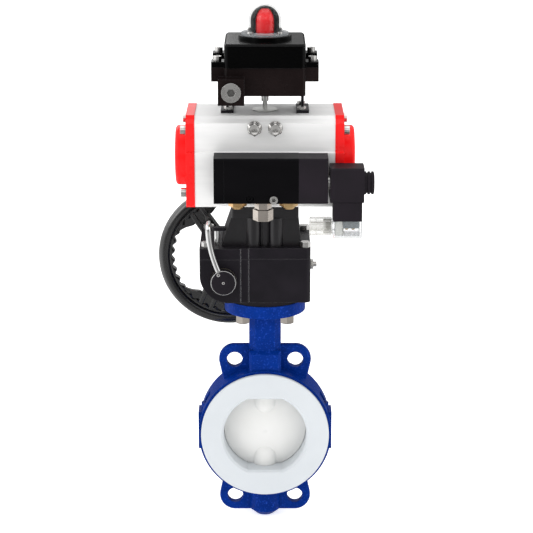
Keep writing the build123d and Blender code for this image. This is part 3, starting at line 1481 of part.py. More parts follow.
with BuildPart() as dome_base:
    with BuildSketch(level(BOX_Z1)):
        Circle(DOME_BASE_R)
        Circle(DOME_R + 1, mode=Mode.SUBTRACT)
        with PolarLocations(DOME_SCREW_PCD_R, 4, start_angle=45):
            Circle(DOME_SCREW_R + 0.2, mode=Mode.SUBTRACT)
    extrude(amount=DOME_Z0 - BOX_Z1)
save(dome_base, "dome_base")

with BuildPart() as dome:
    with BuildSketch(Plane.XZ):
        with BuildLine():
            Polyline(
                (DOME_R, DOME_Z0),
                (DOME_FLANGE_R, DOME_Z0),
                (DOME_FLANGE_R, DOME_Z0 + DOME_FLANGE_H),
                (DOME_R + 1.4, DOME_Z0 + DOME_FLANGE_H),
                (DOME_R, DOME_Z0 + DOME_FLANGE_H + 2.5),
                (DOME_R, DOME_Z1 - DOME_R),
            )
            RadiusArc((DOME_R, DOME_Z1 - DOME_R), (0, DOME_Z1), -DOME_R)
            Line((0, DOME_Z1), (0, DOME_Z1 - DOME_WALL))
            RadiusArc((0, DOME_Z1 - DOME_WALL), (DOME_R - DOME_WALL, DOME_Z1 - DOME_R), DOME_R - DOME_WALL)
            Polyline((DOME_R - DOME_WALL, DOME_Z1 - DOME_R), (DOME_R - DOME_WALL, DOME_Z0), (DOME_R, DOME_Z0))
        make_face()
    revolve(axis=Axis.Z)
    with BuildSketch(level(DOME_Z0 - 1)):
        with PolarLocations(DOME_SCREW_PCD_R, 4, start_angle=45):
            Circle(DOME_SCREW_R + 0.2)
    extrude(amount=5, mode=Mode.SUBTRACT)
save(dome, "dome")

with BuildPart() as dome_screws:
    with BuildSketch(level(DOME_Z0 + DOME_FLANGE_H)):
        with PolarLocations(DOME_SCREW_PCD_R, 4, start_angle=45):
            Circle(DOME_SCREW_HEAD_R)
    extrude(amount=2)
    with BuildSketch(level(DOME_Z0 + DOME_FLANGE_H)):
        with PolarLocations(DOME_SCREW_PCD_R, 4, start_angle=45):
            Circle(DOME_SCREW_R)
    extrude(amount=-12)
save(dome_screws, "dome_screws")

with BuildPart() as indicator_rotor:
    with BuildSketch(level(BOX_Z1 + 1)):
        Circle(ROTOR_R)
    extrude(amount=DOME_Z1 - DOME_R - BOX_Z1 - 1)
    with BuildSketch(Plane.XZ):
        with BuildLine():
            Line((0, DOME_Z1 - DOME_R), (ROTOR_R, DOME_Z1 - DOME_R))
            RadiusArc((ROTOR_R, DOME_Z1 - DOME_R), (0, DOME_Z1 - DOME_R + ROTOR_R), -ROTOR_R)
            Line((0, DOME_Z1 - DOME_R + ROTOR_R), (0, DOME_Z1 - DOME_R))
        make_face()
    revolve(axis=Axis.Z)
    with BuildSketch(level(BOX_Z1)):
        Circle(SHAFT_R + 0.02)
    extrude(amount=4.5, mode=Mode.SUBTRACT)
save(indicator_rotor, "indicator_rotor")
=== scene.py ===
"""Looks of the pneumatic actuated valve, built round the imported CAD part. Metres, Blender 4.5."""

import json
from math import cos, pi, radians, sin

import bmesh
import bpy
from mathutils import Matrix, Vector


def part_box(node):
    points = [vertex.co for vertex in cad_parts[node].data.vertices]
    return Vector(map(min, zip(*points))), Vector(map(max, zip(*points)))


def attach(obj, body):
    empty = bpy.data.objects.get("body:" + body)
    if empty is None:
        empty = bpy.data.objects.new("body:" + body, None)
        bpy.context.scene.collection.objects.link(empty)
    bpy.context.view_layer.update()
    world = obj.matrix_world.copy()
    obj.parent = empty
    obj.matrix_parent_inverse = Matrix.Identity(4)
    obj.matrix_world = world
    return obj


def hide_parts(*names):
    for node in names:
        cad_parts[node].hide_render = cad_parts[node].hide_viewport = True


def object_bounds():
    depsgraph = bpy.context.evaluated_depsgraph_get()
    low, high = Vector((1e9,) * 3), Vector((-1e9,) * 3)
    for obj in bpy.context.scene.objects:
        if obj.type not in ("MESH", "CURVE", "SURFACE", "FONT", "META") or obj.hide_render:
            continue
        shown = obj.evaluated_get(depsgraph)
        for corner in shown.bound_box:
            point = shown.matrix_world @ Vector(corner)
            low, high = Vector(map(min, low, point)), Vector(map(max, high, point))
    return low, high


# ---- camera ----
TARGET = Vector((0.0017, 0, 0.192))
CAMERA_DISTANCE = 2.0
CAMERA_ELEVATION = 16
LENS = 120.2
SENSOR = 36

# ---- studio ----
FLOOR_R = 40
FLOOR_GAP = 0.0004

# ---- handwheel, millimetres, seen along its own axis ----
MM = 0.001
WHEEL_CENTRE = Vector((-0.041, 0.059, 0.189))
WHEEL_SPOKES = (125, 245, 5)
TUBE_R = 74.4
TUBE_HALF_R = 7.4
TUBE_HALF_Y = 7.8
GRIP_R = 62.8
GRIP_COUNT = 36
GRIP_DEPTH = 3.6
WEB_HALF_Y = 3.2
SPOKE_HALF_W = 9
WINDOW_R = 69
WINDOW_HALF_ANGLE = 51
WINDOW_INNER_R = 22
RIB_FROM_R = 15
RIB_TO_R = 68
RIB_HALF_W = 1.5
RIB_HALF_Y = 5.4
RIB_INSET = 2.2

# ---- declutch lever, millimetres: X and Z are from the sleeve cap's axis ----
LEVER_Y = -52
LEVER_R = 3.1
LEVER_FOOT = (-1.4, 2.7)
LEVER_CORNER = (-15.4, 32)
LEVER_TOP = (-16.2, 58)
LEVER_TIP = (-15.6, 65)
LEVER_TIP_LEAN = 9.5

# ---- hexagon bolts, millimetres ----
STOP_SHANK_L = 34
STOP_HEAD_H = 12
FLANGE_BOLT_L = 26
FLANGE_PCD_R = 35
FLANGE_BOLT_ANGLES = (45, 135, 225, 315)
SHANK_R = 4

# ---- cable plug, millimetres ----
NUT_R = 10.4
NUT_WAIST_R = 9.6
NUT_BORE_R = 5
NUT_FLUTES = 26
NUT_FLUTE_DEPTH = 0.55
SPIGOT_HOLE_R = 8.15
SPIGOT_L = 9
PLUG_L = 31.4
PLUG_END_WALL = 2.8
PLUG_SIDE_WALL = 4.2

# ---- solenoid block's blanking plug, metres ----
RECESS_X = -0.016
RECESS_Z = 0.288

# ---- indicator ----
DOME_MID_Z = 0.4693
DOME_FOOT_Z = 0.4505
DOME_FOOT_TOP_Z = 0.4568
MASK_R = 0.0154
MASK_SKIN = 0.0007
WINDOW_AZIMUTH = 43
WINDOW_RISE = 68

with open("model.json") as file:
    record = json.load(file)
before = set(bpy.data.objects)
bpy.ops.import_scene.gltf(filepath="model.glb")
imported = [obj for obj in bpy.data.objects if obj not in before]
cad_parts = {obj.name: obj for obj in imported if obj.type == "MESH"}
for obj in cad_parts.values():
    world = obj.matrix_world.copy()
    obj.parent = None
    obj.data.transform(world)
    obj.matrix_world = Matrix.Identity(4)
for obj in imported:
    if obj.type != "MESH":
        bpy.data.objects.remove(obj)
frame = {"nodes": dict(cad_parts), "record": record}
cad_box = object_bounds()
nodes = frame["nodes"]
scene = bpy.context.scene


# ---------------------------------------------------------------- node helpers


def new_material(name):
    """An empty node material with its Principled shader, as (material, nodes, links, shader)."""
    made = bpy.data.materials.new(name)
    made.use_nodes = True
    tree = made.node_tree
    return made, tree.nodes, tree.links, tree.nodes["Principled BSDF"]


def place(tree_nodes, links, stretch=(1, 1, 1)):
    """Object coordinates in metres, stretched along each axis."""
    coords = tree_nodes.new("ShaderNodeTexCoord")
    mapping = tree_nodes.new("ShaderNodeMapping")
    mapping.inputs["Scale"].default_value = stretch
    links.new(coords.outputs["Object"], mapping.inputs["Vector"])
    return mapping.outputs["Vector"]


def noise(tree_nodes, links, where, scale, detail=4.0, roughness=0.6):
    """A noise value round 0.5."""
    node = tree_nodes.new("ShaderNodeTexNoise")
    node.inputs["Scale"].default_value = scale
    node.inputs["Detail"].default_value = detail
    node.inputs["Roughness"].default_value = roughness
    links.new(where, node.inputs["Vector"])
    return node.outputs["Fac"]


def spread(tree_nodes, links, value, low, high, start=0.3, end=0.7):
    """The value taken from start..end to low..high."""
    node = tree_nodes.new("ShaderNodeMapRange")
    node.inputs["From Min"].default_value = start
    node.inputs["From Max"].default_value = end
    node.inputs["To Min"].default_value = low
    node.inputs["To Max"].default_value = high
    links.new(value, node.inputs["Value"])
    return node.outputs["Result"]


def mixed(tree_nodes, links, amount, first, second):
    """A colour between first and second. Each may be a colour or a node's output."""
    node = tree_nodes.new("ShaderNodeMix")
    node.data_type = "RGBA"
    links.new(amount, node.inputs["Factor"])
    for value, socket in ((first, node.inputs["A"]), (second, node.inputs["B"])):
        if isinstance(value, tuple):
            socket.default_value = (*value, 1)
        else:
            links.new(value, socket)
    return node.outputs["Result"]


def edges(tree_nodes, links, radius, upright=False):
    """(soft edge normal, mask that is 1 on sharp edges and 0 on flat faces), upright edges alone if asked."""
    bevel = tree_nodes.new("ShaderNodeBevel")
    bevel.samples = 4
    bevel.inputs["Radius"].default_value = radius
    geometry = tree_nodes.new("ShaderNodeNewGeometry")
    dot = tree_nodes.new("ShaderNodeVectorMath")
    dot.operation = "DOT_PRODUCT"
    links.new(bevel.outputs["Normal"], dot.inputs[0])
    links.new(geometry.outputs["Normal"], dot.inputs[1])
    mask = spread(tree_nodes, links, dot.outputs["Value"], 1, 0, 0.86, 0.985)
    # With upright, level edges keep only 0.12 of the mask, so the painted edge highlight falls mostly on
    # upright edges.
    if upright:
        parts = tree_nodes.new("ShaderNodeSeparateXYZ")
        links.new(bevel.outputs["Normal"], parts.inputs["Vector"])
        lean = tree_nodes.new("ShaderNodeMath")
        lean.operation = "ABSOLUTE"
        links.new(parts.outputs["Z"], lean.inputs[0])
        kept = tree_nodes.new("ShaderNodeMath")
        kept.operation = "MULTIPLY"
        links.new(mask, kept.inputs[0])
        links.new(spread(tree_nodes, links, lean.outputs[0], 1, 0.12, 0.1, 0.3), kept.inputs[1])
        mask = kept.outputs[0]
    return bevel.outputs["Normal"], mask


def surface(
    name,
    base,
    dark,
    rough,
    metal=0.0,
    specular=0.5,
    coat=0.0,
    stretch=(1, 1, 1),
    patch=18,
    grain=900,
    bump=0.15,
    grain_depth=0.0001,
    edge_wear_and_highlight=None,
    edge_amount=0.5,
    edge_radius=0.0006,
    painted_glints=0.0,
    recess_shade=0.0,
    upright=False,
):
    """A hard surface: patchy colour, uneven gloss, fine bump, softened edges, an edge colour that is partly
    wear and partly painted highlight, and if asked painted glints and painted shade in recesses.
    """
    made, tree_nodes, links, shader = new_material(name)
    where = place(tree_nodes, links, stretch)
    patches = noise(tree_nodes, links, where, patch)
    fine = noise(tree_nodes, links, where, grain, 3.0)
    colour = mixed(tree_nodes, links, spread(tree_nodes, links, patches, 0, 1), dark, base)
    # Bright flecks, lighter copies of the base colour, are painted glints of the orange-peel paint.
    if painted_glints:
        glint_flecks = spread(tree_nodes, links, fine, 0, painted_glints, 0.55, 0.72)
        colour = mixed(tree_nodes, links, glint_flecks, colour, tuple(min(1, c * 2.2 + 0.02) for c in base))
    soft, mask = edges(tree_nodes, links, edge_radius, upright)
    # The edge colour is partly wear and partly a painted highlight along sharp edges.
    if edge_wear_and_highlight:
        worn_and_lit_edges = tree_nodes.new("ShaderNodeMath")
        worn_and_lit_edges.operation = "MULTIPLY"
        links.new(mask, worn_and_lit_edges.inputs[0])
        links.new(spread(tree_nodes, links, fine, 0, edge_amount), worn_and_lit_edges.inputs[1])
        colour = mixed(tree_nodes, links, worn_and_lit_edges.outputs[0], colour, edge_wear_and_highlight)
    # Ambient occlusion paints shade into recesses: the colour goes to near black where the surface is hemmed
    # in.
    if recess_shade:
        depth = tree_nodes.new("ShaderNodeAmbientOcclusion")
        depth.samples = 4
        depth.inputs["Distance"].default_value = recess_shade
        painted_shade = spread(tree_nodes, links, depth.outputs["AO"], 1, 0, 0.35, 0.7)
        colour = mixed(tree_nodes, links, painted_shade, colour, tuple(c * 0.12 for c in dark))
    links.new(colour, shader.inputs["Base Color"])
    links.new(spread(tree_nodes, links, patches, rough * 0.85, rough * 1.2), shader.inputs["Roughness"])
    relief = tree_nodes.new("ShaderNodeBump")
    relief.inputs["Strength"].default_value = bump
    relief.inputs["Distance"].default_value = grain_depth
    links.new(fine, relief.inputs["Height"])
    links.new(soft, relief.inputs["Normal"])
    links.new(relief.outputs["Normal"], shader.inputs["Normal"])
    shader.inputs["Metallic"].default_value = metal
    shader.inputs["Specular IOR Level"].default_value = specular
    shader.inputs["Coat Weight"].default_value = coat
    shader.inputs["Coat Roughness"].default_value = 0.12
    return made


# ---------------------------------------------------------------- materials: the slots' and a few pieces' own

# Each look's edge colour is partly wear and partly a painted highlight.
LOOKS = {
    # The blue's bright flecks are painted glints.
    "blue_paint": surface(
        "blue_paint", (0.0002, 0.026, 0.225), (0.0001, 0.018, 0.155), 0.34, specular=0.04,
        patch=40, grain=420, bump=0.8, grain_depth=0.0006, edge_wear_and_highlight=(0.02, 0.09, 0.42), painted_glints=0.6,
    ),
    "liner_white": surface(
        "liner_white", (0.60, 0.63, 0.655), (0.57, 0.60, 0.625), 0.5, specular=0.3, grain=260, bump=0.06,
        edge_wear_and_highlight=(0.86, 0.88, 0.90), edge_amount=0.6,
    ),
    "disc_white": surface(
        "disc_white", (0.73, 0.73, 0.72), (0.69, 0.69, 0.67), 0.42, specular=0.4, grain=220, bump=0.12,
    ),
    "stainless": surface(
        "stainless", (0.62, 0.62, 0.60), (0.50, 0.50, 0.49), 0.28, metal=1.0, stretch=(1, 1, 12), grain=500,
    ),
    # Here and on brass, nickel and bolt steel, ambient occlusion paints shade into the recesses.
    "zinc_steel": surface(
        "zinc_steel", (0.82, 0.81, 0.79), (0.62, 0.61, 0.59), 0.26, metal=1.0, patch=60, grain=700,
        edge_wear_and_highlight=(0.98, 0.98, 0.96), edge_radius=0.0005, recess_shade=0.007,
    ),
    "chrome_rod": surface(
        "chrome_rod", (0.80, 0.80, 0.79), (0.66, 0.66, 0.66), 0.12, metal=1.0, patch=50, bump=0.05,
    ),
    # The gearbox's pale grey upright edges are a painted highlight on its steps.
    "gear_black": surface(
        "gear_black", (0.0125, 0.010, 0.0145), (0.008, 0.007, 0.0095), 0.40, specular=0.14, patch=30,
        grain=800, bump=0.5, grain_depth=0.0002, edge_wear_and_highlight=(0.26, 0.26, 0.27), edge_amount=1.8,
        edge_radius=0.0013, upright=True,
    ),
    "yoke_black": surface(
        "yoke_black", (0.010, 0.009, 0.011), (0.007, 0.006, 0.008), 0.30, specular=0.6, patch=30,
        grain=700, bump=0.3, edge_wear_and_highlight=(0.06, 0.06, 0.065),
    ),
    "base_black": surface(
        "base_black", (0.011, 0.0065, 0.0065), (0.007, 0.004, 0.004), 0.26, specular=0.12, patch=35,
        grain=500, bump=0.4, grain_depth=0.0003, edge_wear_and_highlight=(0.08, 0.08, 0.085), edge_amount=0.6,
    ),
    "wheel_black": surface(
        "wheel_black", (0.0040, 0.0040, 0.0045), (0.0022, 0.0022, 0.0026), 0.24, specular=1.0, coat=0.5,
        patch=45, grain=600, bump=0.25, edge_wear_and_highlight=(0.03, 0.03, 0.034),
    ),
    "cast_steel": surface(
        "cast_steel", (0.28, 0.25, 0.20), (0.16, 0.14, 0.11), 0.42, metal=0.9, grain=500, bump=0.3,
    ),
    "alu_silver": surface(
        "alu_silver", (0.87, 0.865, 0.86), (0.79, 0.79, 0.785), 0.45, metal=0.08, specular=0.4,
        stretch=(0.12, 1, 1), patch=90, grain=1400, bump=0.14, edge_wear_and_highlight=(0.95, 0.95, 0.94),
    ),
    "alu_cast": surface(
        "alu_cast", (0.55, 0.55, 0.54), (0.42, 0.42, 0.41), 0.5, metal=0.8, grain=500, bump=0.3,
    ),
    "red_paint": surface(
        "red_paint", (0.94, 0.010, 0.011), (0.84, 0.007, 0.008), 0.3, specular=0.16, coat=0.08, patch=30,
        grain=420, bump=0.22, grain_depth=0.0003, edge_wear_and_highlight=(0.95, 0.22, 0.20), edge_amount=0.55,
    ),
    "block_black": surface(
        "block_black", (0.003, 0.0025, 0.0035), (0.0015, 0.0014, 0.002), 0.42, specular=0.08,
        stretch=(0.3, 1, 1), grain=1200, bump=0.12, edge_wear_and_highlight=(0.07, 0.07, 0.08), edge_radius=0.0004,
    ),
    "plastic_black": surface(
        "plastic_black", (0.015, 0.011, 0.016), (0.011, 0.009, 0.012), 0.5, specular=0.12, grain=1600,
        bump=0.35, grain_depth=0.00015, edge_wear_and_highlight=(0.08, 0.08, 0.085), edge_radius=0.0004,
    ),
    "box_black": surface(
        "box_black", (0.0006, 0.0006, 0.0007), (0.0003, 0.0003, 0.0004), 0.22, specular=0.10, patch=35,
        grain=500, bump=0.4, grain_depth=0.0003, edge_wear_and_highlight=(0.08, 0.08, 0.085), edge_amount=0.6,
    ),
    "brass": surface(
        "brass", (0.98, 0.68, 0.34), (0.80, 0.50, 0.22), 0.30, metal=1.0, patch=80, grain=900, bump=0.5,
        edge_wear_and_highlight=(1.0, 0.86, 0.60), edge_radius=0.0005, recess_shade=0.002,
    ),
    "nickel": surface(
        "nickel", (0.78, 0.71, 0.64), (0.56, 0.50, 0.45), 0.28, metal=1.0, patch=70, grain=600,
        edge_wear_and_highlight=(0.95, 0.92, 0.88), edge_radius=0.0005, recess_shade=0.003,
    ),
    "bolt_steel": surface(
        "bolt_steel", (0.46, 0.42, 0.38), (0.34, 0.31, 0.28), 0.34, metal=1.0, patch=70, grain=600,
        edge_wear_and_highlight=(0.80, 0.77, 0.73), edge_radius=0.0005, recess_shade=0.003,
    ),
    "terminal_grey": surface(
        "terminal_grey", (0.22, 0.25, 0.26), (0.15, 0.17, 0.18), 0.4, specular=0.4, grain=500, bump=0.2,
    ),
    "pale_plastic": surface(
        "pale_plastic", (0.80, 0.80, 0.76), (0.72, 0.72, 0.68), 0.4, specular=0.45, grain=500, bump=0.15,
    ),
    "bush_white": surface(
        "bush_white", (0.75, 0.74, 0.70), (0.66, 0.65, 0.60), 0.5, specular=0.4,
    ),
    "seal_rubber": surface(
        "seal_rubber", (0.014, 0.014, 0.014), (0.008, 0.008, 0.008), 0.6, specular=0.3,
    ),
}


def clear_plastic(name, tint, rough, face, rim, foot=None):
    """Thin moulded plastic: it lets what is inside show, and shows more of itself towards its outline.

    foot is (top height, colour, extra opacity) of a thick flange at the piece's foot; its pale colour is a
    painted reflection.
    """
    made, tree_nodes, links, shader = new_material(name)
    where = place(tree_nodes, links)
    haze = noise(tree_nodes, links, where, 60)
    colour = mixed(tree_nodes, links, haze, tint, tuple(c * 0.9 for c in tint))
    links.new(spread(tree_nodes, links, haze, rough * 0.7, rough * 1.4), shader.inputs["Roughness"])
    relief = tree_nodes.new("ShaderNodeBump")
    relief.inputs["Strength"].default_value = 0.08
    relief.inputs["Distance"].default_value = 0.0002
    links.new(haze, relief.inputs["Height"])
    links.new(relief.outputs["Normal"], shader.inputs["Normal"])
    weight = tree_nodes.new("ShaderNodeLayerWeight")
    weight.inputs["Blend"].default_value = 0.35
    opacity = spread(tree_nodes, links, weight.outputs["Facing"], face, rim, 0.0, 1.0)
    if foot:
        top_z, foot_reflection_colour, foot_opacity = foot
        parts = tree_nodes.new("ShaderNodeSeparateXYZ")
        links.new(where, parts.inputs["Vector"])
        low = spread(tree_nodes, links, parts.outputs["Z"], 1, 0, top_z, top_z + 0.0008)
        # The foot's pale grey is a painted reflection on the clear flange.
        colour = mixed(tree_nodes, links, low, colour, foot_reflection_colour)
        thicker = tree_nodes.new("ShaderNodeMath")
        thicker.operation = "MULTIPLY_ADD"
        links.new(low, thicker.inputs[0])
        thicker.inputs[1].default_value = foot_opacity
        links.new(opacity, thicker.inputs[2])
        opacity = thicker.outputs[0]
    links.new(colour, shader.inputs["Base Color"])
    links.new(opacity, shader.inputs["Alpha"])
    shader.inputs["Specular IOR Level"].default_value = 1.0
    return made


def indicator_paint():
    """Red on the rotor's front and back quarters, yellow on its two sides."""
    made, tree_nodes, links, shader = new_material("indicator_red")
    where = place(tree_nodes, links)
    parts = tree_nodes.new("ShaderNodeSeparateXYZ")
    links.new(where, parts.inputs["Vector"])
    width = []
    for axis in ("X", "Y"):
        size = tree_nodes.new("ShaderNodeMath")
        size.operation = "ABSOLUTE"
        links.new(parts.outputs[axis], size.inputs[0])
        width.append(size.outputs[0])
    side = tree_nodes.new("ShaderNodeMath")
    side.operation = "GREATER_THAN"
    links.new(width[0], side.inputs[0])
    links.new(width[1], side.inputs[1])
    shade = noise(tree_nodes, links, where, 90)
    red = mixed(tree_nodes, links, shade, (0.96, 0.014, 0.020), (0.84, 0.008, 0.014))
    yellow = mixed(tree_nodes, links, shade, (0.80, 0.52, 0.02), (0.70, 0.44, 0.015))
    links.new(mixed(tree_nodes, links, side.outputs[0], red, yellow), shader.inputs["Base Color"])
    links.new(spread(tree_nodes, links, shade, 0.22, 0.34), shader.inputs["Roughness"])
    shader.inputs["Coat Weight"].default_value = 0.3
    return made


LOOKS["clear_plastic"] = clear_plastic("clear_plastic", (0.40, 0.43, 0.45), 0.07, 0.10, 0.80)
# The dome's pale grey foot is a painted reflection.
LOOKS["dome_plastic"] = clear_plastic(
    "dome_plastic", (0.008, 0.008, 0.009), 0.05, 0.03, 0.45, foot=(DOME_FOOT_TOP_Z, (0.46, 0.48, 0.50), 0.34)
)
LOOKS["milky_plastic"] = clear_plastic("milky_plastic", (0.56, 0.55, 0.50), 0.25, 0.27, 0.85)
LOOKS["indicator_red"] = indicator_paint()

look_of = {
    "dome": "dome_plastic",
    "yoke": "yoke_black",
    "switch_base": "base_black",
    "body_screws": "blue_paint",
}
slot_of = {part["node"]: part["material_slot"] for part in frame["record"]["subparts"]}
for name, piece in nodes.items():
    look = LOOKS[look_of.get(name, slot_of[name])]
    piece.data.materials.clear()
    piece.data.materials.append(look)


# ---------------------------------------------------------------- mesh helpers


def turned(profile, steps=64, ripple=None):
    """A closed profile of (radius, height) points turned about local Z, in millimetres."""
    mesh = bmesh.new()
    rings = []
    for k in range(steps):
        angle = 2 * pi * k / steps
        ring = []
        for radius, height in profile:
            r = ripple(radius, angle) if ripple else radius
            ring.append(mesh.verts.new((r * cos(angle), r * sin(angle), height)))
        rings.append(ring)
    count = len(profile)
    for k in range(steps):
        here, there = rings[k], rings[(k + 1) % steps]
        for j in range(count):
            i = (j + 1) % count
            mesh.faces.new((here[j], there[j], there[i], here[i]))
    bmesh.ops.recalc_face_normals(mesh, faces=mesh.faces)
    return mesh


def hexagon(flats_r, low, high, chamfer=0.9, hole=0.5):
    """A hexagon between two heights, its far corners cut by a cone as on a bolt head."""

    def flats(radius, angle):
        return min(radius, flats_r / cos((angle + pi / 6) % (pi / 3) - pi / 6))

    corner = flats_r / cos(pi / 6)
    profile = [(hole, low), (corner, low), (corner, high - chamfer), (flats_r * 0.93, high)]
    profile += [(flats_r * 0.72, high), (flats_r * 0.66, high - 0.25), (hole, high - 0.25)]
    return turned(profile, 72, flats)


def disc(radius, low, high, hole=0.5):
    """A round plate with broken edges, such as a washer or a shank."""
    return turned([(hole, low), (radius - 0.2, low), (radius, low + 0.2), (radius, high - 0.2),
                   (radius - 0.2, high), (hole, high)], 40)


def rod(path, radius, steps=20):
    """A round rod along points in millimetres, with rounded ends."""
    mesh = bmesh.new()
    rings = []
    side = Vector((0, 1, 0))
    for k, point in enumerate(path):
        ahead = (path[min(k + 1, len(path) - 1)] - path[max(k - 1, 0)]).normalized()
        side = (side - ahead * side.dot(ahead)).normalized()
        other = ahead.cross(side)
        from_end = min((point - path[0]).length, (point - path[-1]).length)
        r = radius * (1 - max(0.0, 1 - from_end / radius) ** 2) ** 0.5 + 0.05
        rings.append([
            mesh.verts.new(point + r * (side * cos(2 * pi * j / steps) + other * sin(2 * pi * j / steps)))
            for j in range(steps)
        ])
    for near, far in zip(rings, rings[1:]):
        for j in range(steps):
            mesh.faces.new((near[j], near[(j + 1) % steps], far[(j + 1) % steps], far[j]))
    mesh.faces.new(rings[0])
    mesh.faces.new(rings[-1])
    bmesh.ops.recalc_face_normals(mesh, faces=mesh.faces)
    return mesh


def plate(outlines, half, bevel):
    """A flat plate about local Z = 0 from closed outlines, the first its edge and the others holes."""
    curve = bpy.data.curves.new("plate", "CURVE")
    curve.dimensions = "2D"
    curve.fill_mode = "BOTH"
    curve.extrude = (half - bevel) * MM
    curve.bevel_depth = bevel * MM
    curve.bevel_resolution = 3
    for outline in outlines:
        spline = curve.splines.new("POLY")
        spline.points.add(len(outline) - 1)
        for point, (x, y) in zip(spline.points, outline):
            point.co = (x * MM, y * MM, 0, 1)
        spline.use_cyclic_u = True
    holder = bpy.data.objects.new("plate", curve)
    flat = bpy.data.meshes.new_from_object(holder)
    bpy.data.objects.remove(holder)
    mesh = bmesh.new()
    mesh.from_mesh(flat)
    bmesh.ops.scale(mesh, vec=(1 / MM, 1 / MM, 1 / MM), verts=mesh.verts)
    return mesh


def rounded_box(low, high, bevel):
    """A block between two corners with rounded edges, in millimetres."""
    mesh = bmesh.new()
    bmesh.ops.create_cube(mesh, size=1)
    for vertex in mesh.verts:
        vertex.co = [a if c < 0 else b for a, b, c in zip(low, high, vertex.co)]
    bmesh.ops.bevel(mesh, geom=mesh.edges, offset=bevel, segments=3, affect="EDGES")
    return mesh


def piece_from(name, meshes, look, body, centre=(0, 0, 0), facing=None):
    """One object from meshes in millimetres: their Z is turned to facing, and they stand at centre."""
    turn = Vector(facing).to_track_quat("Z", "Y").to_matrix().to_4x4() if facing else Matrix()
    data = bpy.data.meshes.new(name)
    whole = bmesh.new()
    for mesh in meshes:
        part = bpy.data.meshes.new("part")
        mesh.to_mesh(part)
        mesh.free()
        whole.from_mesh(part)
        bpy.data.meshes.remove(part)
    stand = Matrix.Translation(centre) @ turn @ Matrix.Scale(MM, 4)
    bmesh.ops.transform(whole, matrix=stand, verts=whole.verts)
    whole.to_mesh(data)
    whole.free()
    data.shade_smooth()
    data.set_sharp_from_angle(angle=radians(38))
    data.materials.append(LOOKS[look])
    made = bpy.data.objects.new(name, data)
    scene.collection.objects.link(made)
    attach(made, body)
    return made


def turn_flat(points, angle):
    """Points of a plane turned by an angle in degrees."""
    c, s = cos(radians(angle)), sin(radians(angle))
    return [(x * c - y * s, x * s + y * c) for x, y in points]


# ---------------------------------------------------------------- handwheel


def wheel_window():
    """The opening between two spokes, with wide round corners, its middle on local +X."""
    outer, inner = [], []
    steps = 48
    for k in range(steps + 1):
        t = 2 * k / steps - 1
        angle = radians(t * WINDOW_HALF_ANGLE)
        beside_spoke = SPOKE_HALF_W / sin(radians(60) - abs(angle))
        near = (WINDOW_INNER_R**4 + beside_spoke**4) ** 0.25
        far = near + (WINDOW_R - near) * max(0.0, 1 - t**4) ** 0.5
        inner.append((near * cos(angle), near * sin(angle)))
        outer.append((far * cos(angle), far * sin(angle)))
    return outer + inner[-2:0:-1]


def circle(radius, steps=96):
    """A circle's points."""
    return [(radius * cos(2 * pi * k / steps), radius * sin(2 * pi * k / steps)) for k in range(steps)]


def tube_section(centre, half_r, half_y, squareness, steps=20):
    """A rounded section as (radius, height) points."""
    points = []
    for k in range(steps):
        a = 2 * pi * k / steps
        x, y = cos(a), sin(a)
        points.append((
            centre + half_r * abs(x) ** squareness * (1 if x > 0 else -1),
            half_y * abs(y) ** squareness * (1 if y > 0 else -1),
        ))
    return points


def grip(radius, angle):
    """Finger hollows along the inside of the rim."""
    inside = max(0.0, min(1.0, (GRIP_R + 5 - radius) / 5))
    return radius + GRIP_DEPTH * inside * (0.5 + 0.5 * cos(GRIP_COUNT * angle))


web = [circle(TUBE_R - 3)]
web += [turn_flat(wheel_window(), angle + 60) for angle in WHEEL_SPOKES]
web.append(circle(10, 48))
hub_profile = [
    (7.3, -10.6), (13, -10.6), (16.8, -8), (16.8, 8.5), (14.5, 11), (12.5, 11), (12, 10.2), (7.3, 10.2),
]
wheel_parts = [
    turned(tube_section(TUBE_R, TUBE_HALF_R, TUBE_HALF_Y, 0.85), 144),
    turned(tube_section(GRIP_R + 4, 4, 5.6, 0.8), 240, grip),
    plate(web, WEB_HALF_Y, 1.4),
    turned(hub_profile),
]
for angle in WHEEL_SPOKES:
    for rib in (-1, 1):
        line = rib * (SPOKE_HALF_W - RIB_INSET)
        bar = [
            (RIB_FROM_R, line - RIB_HALF_W),
            (RIB_TO_R, line - RIB_HALF_W),
            (RIB_TO_R, line + RIB_HALF_W),
            (RIB_FROM_R, line + RIB_HALF_W),
        ]
        wheel_parts.append(plate([turn_flat(bar, angle)], RIB_HALF_Y, 1.1))
wheel = piece_from(
    "handwheel_casting", wheel_parts, "wheel_black", "handwheel_drive",
    WHEEL_CENTRE, (0, -1, 0),
)
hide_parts("handwheel")


# ---------------------------------------------------------------- indicator mask

mask_mesh = bmesh.new()
mask_rows = [(MASK_R, DOME_FOOT_Z), (MASK_R, DOME_FOOT_Z + 0.004)]
mask_rises = [0, 90]
for rise in range(0, 91, 4):
    mask_rows.append((MASK_R * cos(radians(rise)), DOME_MID_Z + MASK_R * sin(radians(rise))))
    mask_rises.append(rise)
azimuths = [6 * k for k in range(60)]
grid = [
    [mask_mesh.verts.new((r * cos(radians(a)), r * sin(radians(a)), z)) for a in azimuths]
    for r, z in mask_rows
]
for row in range(len(mask_rows) - 1):
    for k, azimuth in enumerate(azimuths):
        off_window = abs((azimuth + 3) % 180 - 90)
        if off_window < WINDOW_AZIMUTH and mask_rises[row + 1] <= WINDOW_RISE:
            continue
        j = (k + 1) % len(azimuths)
        mask_mesh.faces.new((grid[row][k], grid[row][j], grid[row + 1][j], grid[row + 1][k]))
bmesh.ops.delete(mask_mesh, geom=[v for v in mask_mesh.verts if not v.link_faces], context="VERTS")
bmesh.ops.solidify(mask_mesh, geom=mask_mesh.faces, thickness=MASK_SKIN)
